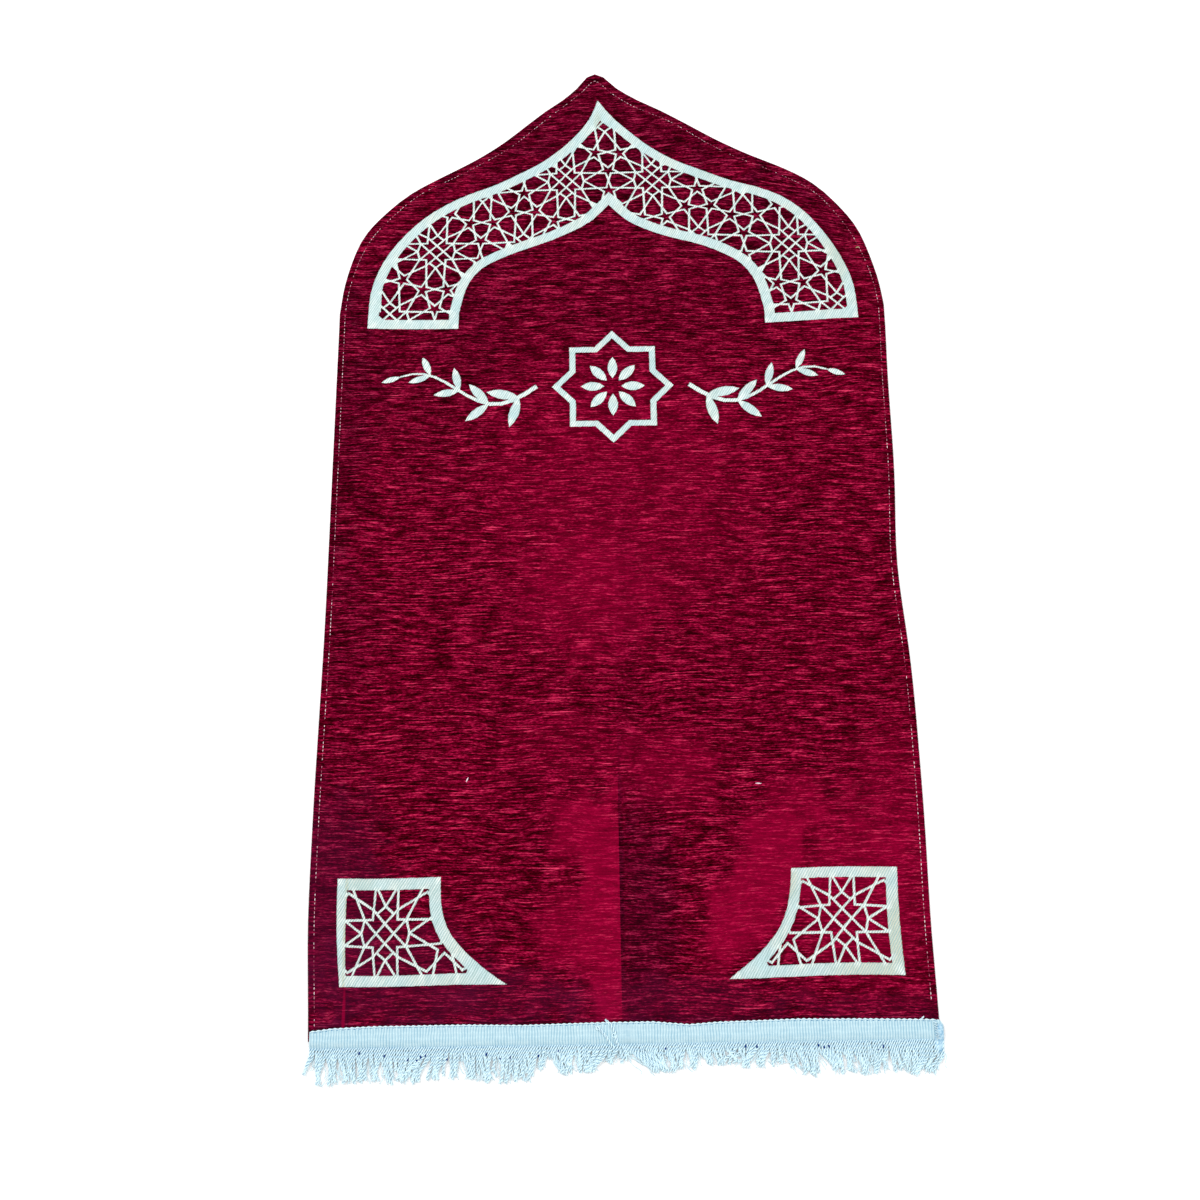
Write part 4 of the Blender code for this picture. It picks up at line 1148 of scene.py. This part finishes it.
GATHER = 0.32  # how close the tips of a lock stay together, as a share of its width
THREAD_RADIUS = 0.00040
CORD_BLUES = (0.02, 0.21, 0.42), (0.64, 0.82, 0.88)  # painted shade of the grooves, and the ridges


def cord_line(root, tip, layer, chance, straight=STRAIGHT):
    """The middle of one cord, from the tape to its tip, which may curl a little."""
    steps = max(6, round((root.y - tip.y) / 0.003))
    phase = chance.uniform(0, 2 * pi)
    sway = chance.uniform(0.0004, 0.0018)
    curl = chance.uniform(-0.0050, 0.0050)
    points = []
    for i in range(steps + 1):
        share = i / steps
        x = root.x + (tip.x - root.x) * ease(share, straight, LEAN_DONE)
        x += sway * share * sin(phase + 6 * share) + curl * share**5
        z = REST_HEIGHT + layer * sin(pi * min(1.0, share * 1.1)) + 0.0006 * max(0.0, 1 - share * 8)
        points.append(Vector((x, root.y + (tip.y - root.y) * share, z)))
    return points


def twisted_cord(mesh, heights, points, start_turn, size=1.0, sides=6):
    """Two plies wound round a line, loose at the tip. The corners between them lie deepest and get the most
    painted shade, which fades towards the tip.
    """
    line = along_line(points, SECTION)
    last = len(line) - 1
    for ply in (0, 1):
        ply_points, radii = [], []
        for i, point in enumerate(line):
            ahead = (line[min(i + 1, last)] - line[max(i - 1, 0)]).normalized()
            side = Vector((0, 0, 1)).cross(ahead).normalized()
            top = ahead.cross(side)
            turn = start_turn + 2 * pi * i * SECTION / TWIST + pi * ply
            loose = 1 + 0.6 * max(0.0, 1 - (last - i) * SECTION / 0.006)
            offset = (side * cos(turn) + top * sin(turn)) * PLY_OFFSET * size * loose
            ply_points.append(point + offset)
            radii.append(PLY_RADIUS * size * (0.55 if i in (0, last) else 1.0))
        for i, ring in enumerate(tube(mesh, ply_points, radii, sides)):
            for corner in ring:
                away = (corner.co - line[i]).length / size
                # the painted groove shade fades towards the tip
                corner[heights] = min(1.0, max(0.0, (away - 0.00070) / 0.00070) + 0.35 * i / last)


cord_material, tree, shader, position, blue, _ = blue_yarn("cord_blue", *CORD_BLUES, 420.0)
tree.links.new(blue, shader.inputs["Base Color"])

chance = random.Random(23)
ends = [left for left, _, _ in LOCKS[1:]] + [RIGHT_END]
for side_name, chosen in (("left", range(HALF)), ("right", range(HALF, len(LOCKS)))):
    cords = bmesh.new()
    heights = cords.verts.layers.float.new("thread_height")
    for number in chosen:
        left, lean, reach = (value / 1000 for value in LOCKS[number])
        width = ends[number] / 1000 - left
        count = max(2, round(width / CORD_PITCH))
        middle = left + width / 2
        for i in range(count):
            root = Vector((left + (i + 0.5) * width / count, TAPE_FOOT + 0.0010))
            across = (root.x - middle) * GATHER + chance.uniform(-0.0012, 0.0012)
            stray = chance.choice((-1, 1)) * 0.005 if chance.random() < 0.18 else 0.0
            short = chance.uniform(0.006, 0.014) if chance.random() < 0.25 else chance.uniform(-0.001, 0.005)
            tip = Vector((middle + lean + across + stray, reach + short))
            layer = chance.choice((0.0, 0.0006, 0.0012)) + (0.0010 if stray else 0.0)
            start_turn = 2.0 + chance.gauss(0, 0.25)
            straight = STRAIGHT_AT_END if number >= len(LOCKS) - END_LOCKS else STRAIGHT
            twisted_cord(cords, heights, cord_line(root, tip, layer, chance, straight), start_turn)
    place_piece("fringe_cords_" + side_name, cords, (cord_material,), "trim_blue")

cords = bmesh.new()
heights = cords.verts.layers.float.new("thread_height")
for i in range(round((TAPE_RIGHT - TAPE_LEFT - 0.004) / CORD_PITCH)):
    x = TAPE_LEFT + 0.002 + i * CORD_PITCH
    depth = chance.uniform(0.0090, 0.0150)
    points = []
    for k in range(4):
        points.append(Vector((x + chance.uniform(-0.001, 0.001) * k, TAPE_FOOT - depth * k / 3, 0.0012)))
    twisted_cord(cords, heights, points, 2.0, size=0.75, sides=4)
for lock in LOCKS:
    left, lean, reach = (value / 1000 for value in lock)
    for _ in range(6):
        root = Vector((left + chance.uniform(0.0, 0.011), TAPE_FOOT - chance.uniform(0.004, 0.014)))
        tip_x = root.x + lean / 1.5 + chance.uniform(-0.005, 0.005)
        tip = Vector((tip_x, reach + chance.uniform(-0.001, 0.009)))
        thread = cord_line(root, tip, chance.uniform(0.0, 0.0020), chance)
        paint(tube(cords, thread, [THREAD_RADIUS] * len(thread), sides=4), heights, 0.9)
place_piece("fringe_cords_under", cords, (cord_material,), "trim_blue")

# %% [markdown]
# ## Edge chain, join and painted shadow spots
#
# A chain of slanted loops runs along the tape's upper edge, and a small dark tube below each of its joints is
# their painted shadow. Where the two ends of the tape meet, two cords cross it, each with a small ring of
# thread, and near the right end a loose thread stands up. The folded right end is held by a zig-zag of the
# same thread, and its rounded flap hangs over the first cords. All of them are tubes, and most follow the
# surface below.

# %% Chain, join cords and zig-zag
CHAIN_PITCH = 2 * RIB_PITCH
CHAIN_RADIUS = 0.00080
RING_PLACES = ((-28.5, -575.8), (-11.0, -583.5))  # in millimetres
RING_SIZE = 0.0019
RING_RADIUS = 0.00055
LOOSE_END = ((0.3225, -0.5688, 0.0062), (0.3212, -0.5702, 0.0060), (0.3198, -0.5716, 0.0050))
ZIGZAG_X, ZIGZAG_Y = 0.3336, -0.5745  # its upper end
ZIGZAG_STEP = 0.0013
ZIGZAG_HALF = 0.0018
ZIGZAG_LEAN = 0.0022
ZIGZAG_RADIUS = 0.00065
FLAP_X, FLAP_Y = 0.3380, -0.5770  # its upper end
FLAP_LENGTH = 0.0290
FLAP_RADIUS = 0.0048
FLAP_HEIGHT = 0.0026  # where it hangs over the cords
JOIN_CORDS = (
    # the places each cord passes, in millimetres, from its upper end
    ((-20.3, -567.4), (-17.5, -570.2), (-12.9, -574.4), (-9.8, -580.5), (-7.8, -591.7), (-5.8, -595.7)),
    ((-31.2, -574.1), (-26.0, -577.0), (-19.5, -584.4), (-14.3, -592.6), (-11.2, -597.7)),
)

details = bmesh.new()
heights = details.verts.layers.float.new("thread_height")
for i in range(int((TAPE_RIGHT - TAPE_LEFT - 0.008) / CHAIN_PITCH)):
    points, radii = [], []
    for k in range(6):
        x = TAPE_LEFT + (i + 0.06 + 0.20 * k) * CHAIN_PITCH
        y = tape_at(x)[0] - 0.0009 + 0.0011 * sin(pi * k / 5)
        points.append(Vector((x, y, surface(x, y - 0.0012) + 0.0001 + 0.0003 * sin(pi * k / 5))))
        radii.append(CHAIN_RADIUS * (0.45 + 0.55 * sin(pi * k / 5)))
    # the thin ends of each loop get a little painted shade
    for ring, radius in zip(tube(details, points, radii), radii):
        for corner in ring:
            corner[heights] = 0.7 + 0.3 * radius / CHAIN_RADIUS
    # a small dark tube below each joint of the chain: the painted shadow of the loops
    shadow_dash_x = TAPE_LEFT + (i + 1.0) * CHAIN_PITCH
    shadow_dash_y = tape_at(shadow_dash_x)[0] - 0.0014
    gap = [Vector((shadow_dash_x + across, shadow_dash_y, surface(shadow_dash_x, shadow_dash_y) + 0.0001)) for across in (-0.0007, 0, 0.0007)]
    tube(details, gap, (0.0002, 0.0005, 0.0002))
for places in JOIN_CORDS:
    points = [Vector((x / 1000, y / 1000, surface(x / 1000, y / 1000) + 0.0011)) for x, y in places]
    points[-1].z = 0.0022
    twisted_cord(details, heights, points, 0.5, size=1.05)
for x_mm, y_mm in RING_PLACES:
    ring = []
    for k in range(13):
        x = x_mm / 1000 + RING_SIZE * cos(2 * pi * k / 12)
        y = y_mm / 1000 + RING_SIZE * sin(2 * pi * k / 12)
        ring.append(Vector((x, y, surface(x, y) + 0.0010)))
    paint(tube(details, ring, [RING_RADIUS] * len(ring)), heights, 1.0)
loose_end = [Vector(place) for place in LOOSE_END]
paint(tube(details, loose_end, (0.0004, 0.0009, 0.0008)), heights, 1.0)
zigzag = []
for k in range(15):
    y = ZIGZAG_Y - ZIGZAG_STEP * k
    x = ZIGZAG_X + ZIGZAG_LEAN * k / 14 + (ZIGZAG_HALF if k % 2 else -ZIGZAG_HALF)
    zigzag.append(Vector((x, y, surface(x, y) + 0.0014)))
paint(tube(details, zigzag, [ZIGZAG_RADIUS] * len(zigzag)), heights, 1.0)
flap, radii = [], []
for k in range(9):
    y = FLAP_Y - FLAP_LENGTH * k / 8
    z = max(surface(FLAP_X, y), FLAP_HEIGHT) - 0.0001
    flap.append(Vector((FLAP_X - 0.0022 * (k / 8) ** 3, y, z)))
    radii.append(FLAP_RADIUS * sin(pi * (k + 1) / 10) ** 0.35)
paint(tube(details, flap, radii, sides=12, flat=0.22), heights, 0.34)
tape_details = place_piece("tape_chain_and_joins", details, (cord_material,), "trim_blue")

# %% [markdown]
# Short dark blue tubes among the cords, a little below the tape, are painted shadow where the cords part.
# One straw fleck is caught in the cloth, on the right of the arch, and two of pale lint lie in the field.

# %% Painted shadow spots and straw
SHADOW_SPOTS = (
    # (x, y) in millimetres
    (-284, -598), (-257, -601), (-232, -605), (-222, -606), (-218, -603), (-213, -601), (-190, -605),
    (-148, -601), (-133, -605), (-122, -605), (-92, -603), (-71, -599), (44, -598), (130, -597),
    (142, -597), (208, -597), (214, -599), (219, -598), (272, -602), (277, -599),
)  # fmt: skip
SLIVERS = {
    # (middle, one of four steps along it)
    "straw": [((0.3184, 0.3635), (0.0011, 0.0003))],
    "lint": [((0.1575, -0.3173), (0.0017, -0.0001)), ((-0.1725, -0.3082), (-0.0006, -0.0013))],
}
SHADOW_SPOT_HEIGHT = 0.0034
SHADOW_SPOT_BLUE = (0.004, 0.035, 0.180, 1)
STRAW_YELLOW = (0.42, 0.34, 0.18, 1)
LINT_PINK = (0.78, 0.62, 0.70, 1)

shadow_spot_material, tree, shader, position = new_material("cord_gap_shadow", 0.7)
shader.inputs["Base Color"].default_value = SHADOW_SPOT_BLUE
shadow_spot_mesh = bmesh.new()
for x_mm, y_mm in SHADOW_SPOTS:
    lean = chance.uniform(-0.0006, 0.0006)
    half = chance.uniform(0.0012, 0.0020)
    spot = Vector((x_mm / 1000, y_mm / 1000, SHADOW_SPOT_HEIGHT))
    ends_at = (spot + Vector((lean, half, -0.0006)), spot, spot - Vector((lean, half, 0.0006)))
    tube(shadow_spot_mesh, ends_at, (0.0005, 0.0011, 0.0005))
cord_gap_shadows = place_piece("cord_gap_shadows", shadow_spot_mesh, (shadow_spot_material,), "trim_blue")


def flecks(kind, color):
    """Short flat slivers caught in the pile, each thickest in its middle."""
    material, _, shader, _ = new_material(kind, 0.7)
    shader.inputs["Base Color"].default_value = color
    mesh = bmesh.new()
    for middle, step in SLIVERS[kind]:
        spots = [Vector(middle) + Vector(step) * (k - 2) for k in range(5)]
        points = [Vector((*spot, surface(*spot) + 0.0005)) for spot in spots]
        tube(mesh, points, (0.0003, 0.0006, 0.0008, 0.0006, 0.0003))
    return place_piece(kind + "_fleck", mesh, (material,), "chenille_red")


straw_fleck = flecks("straw", STRAW_YELLOW)
lint_fleck = flecks("lint", LINT_PINK)

# %% [markdown]
# ## Floor and light
#
# The rug lies on a plain pale floor under a broad soft light, as for a catalogue. The floor isn't part of
# the rug.

# %% Floor and light
FLOOR_REACH = 6.0
FLOOR_WHITE = (0.90, 0.90, 0.90, 1)
SKY_STRENGTH = 0.8

floor_mesh = bmesh.new()
bmesh.ops.create_grid(floor_mesh, x_segments=1, y_segments=1, size=FLOOR_REACH)
floor_data = bpy.data.meshes.new("floor")
floor_mesh.to_mesh(floor_data)
floor_mesh.free()
floor_material, tree, shader, position = new_material("pale_floor", 0.9)
shader.inputs["Base Color"].default_value = FLOOR_WHITE
shader.inputs["Specular IOR Level"].default_value = 0.1
floor_data.materials.append(floor_material)
floor = add_object("floor", floor_data)
floor.location.z = -0.0004  # just below the lowest threads

world = bpy.data.worlds.new("studio")
world.use_nodes = True
sky = world.node_tree.nodes["Background"]
sky.inputs["Color"].default_value = (1, 1, 1, 1)
sky.inputs["Strength"].default_value = SKY_STRENGTH
bpy.context.scene.world = world


def softbox(name, place, size, power):
    """A square area light, its power in watts, that points at the middle of the rug."""
    light = bpy.data.lights.new(name, "AREA")
    light.size = size
    light.energy = power
    lamp = add_object(name, light)
    lamp.location = place
    lamp.rotation_euler = (-Vector(place)).to_track_quat("-Z", "Y").to_euler()


softbox("key_light", place=(-1.4, 1.2, 2.4), size=1.6, power=60)
softbox("fill_light", place=(1.6, -0.6, 2.2), size=2.0, power=25)
print("floor and two lights placed")
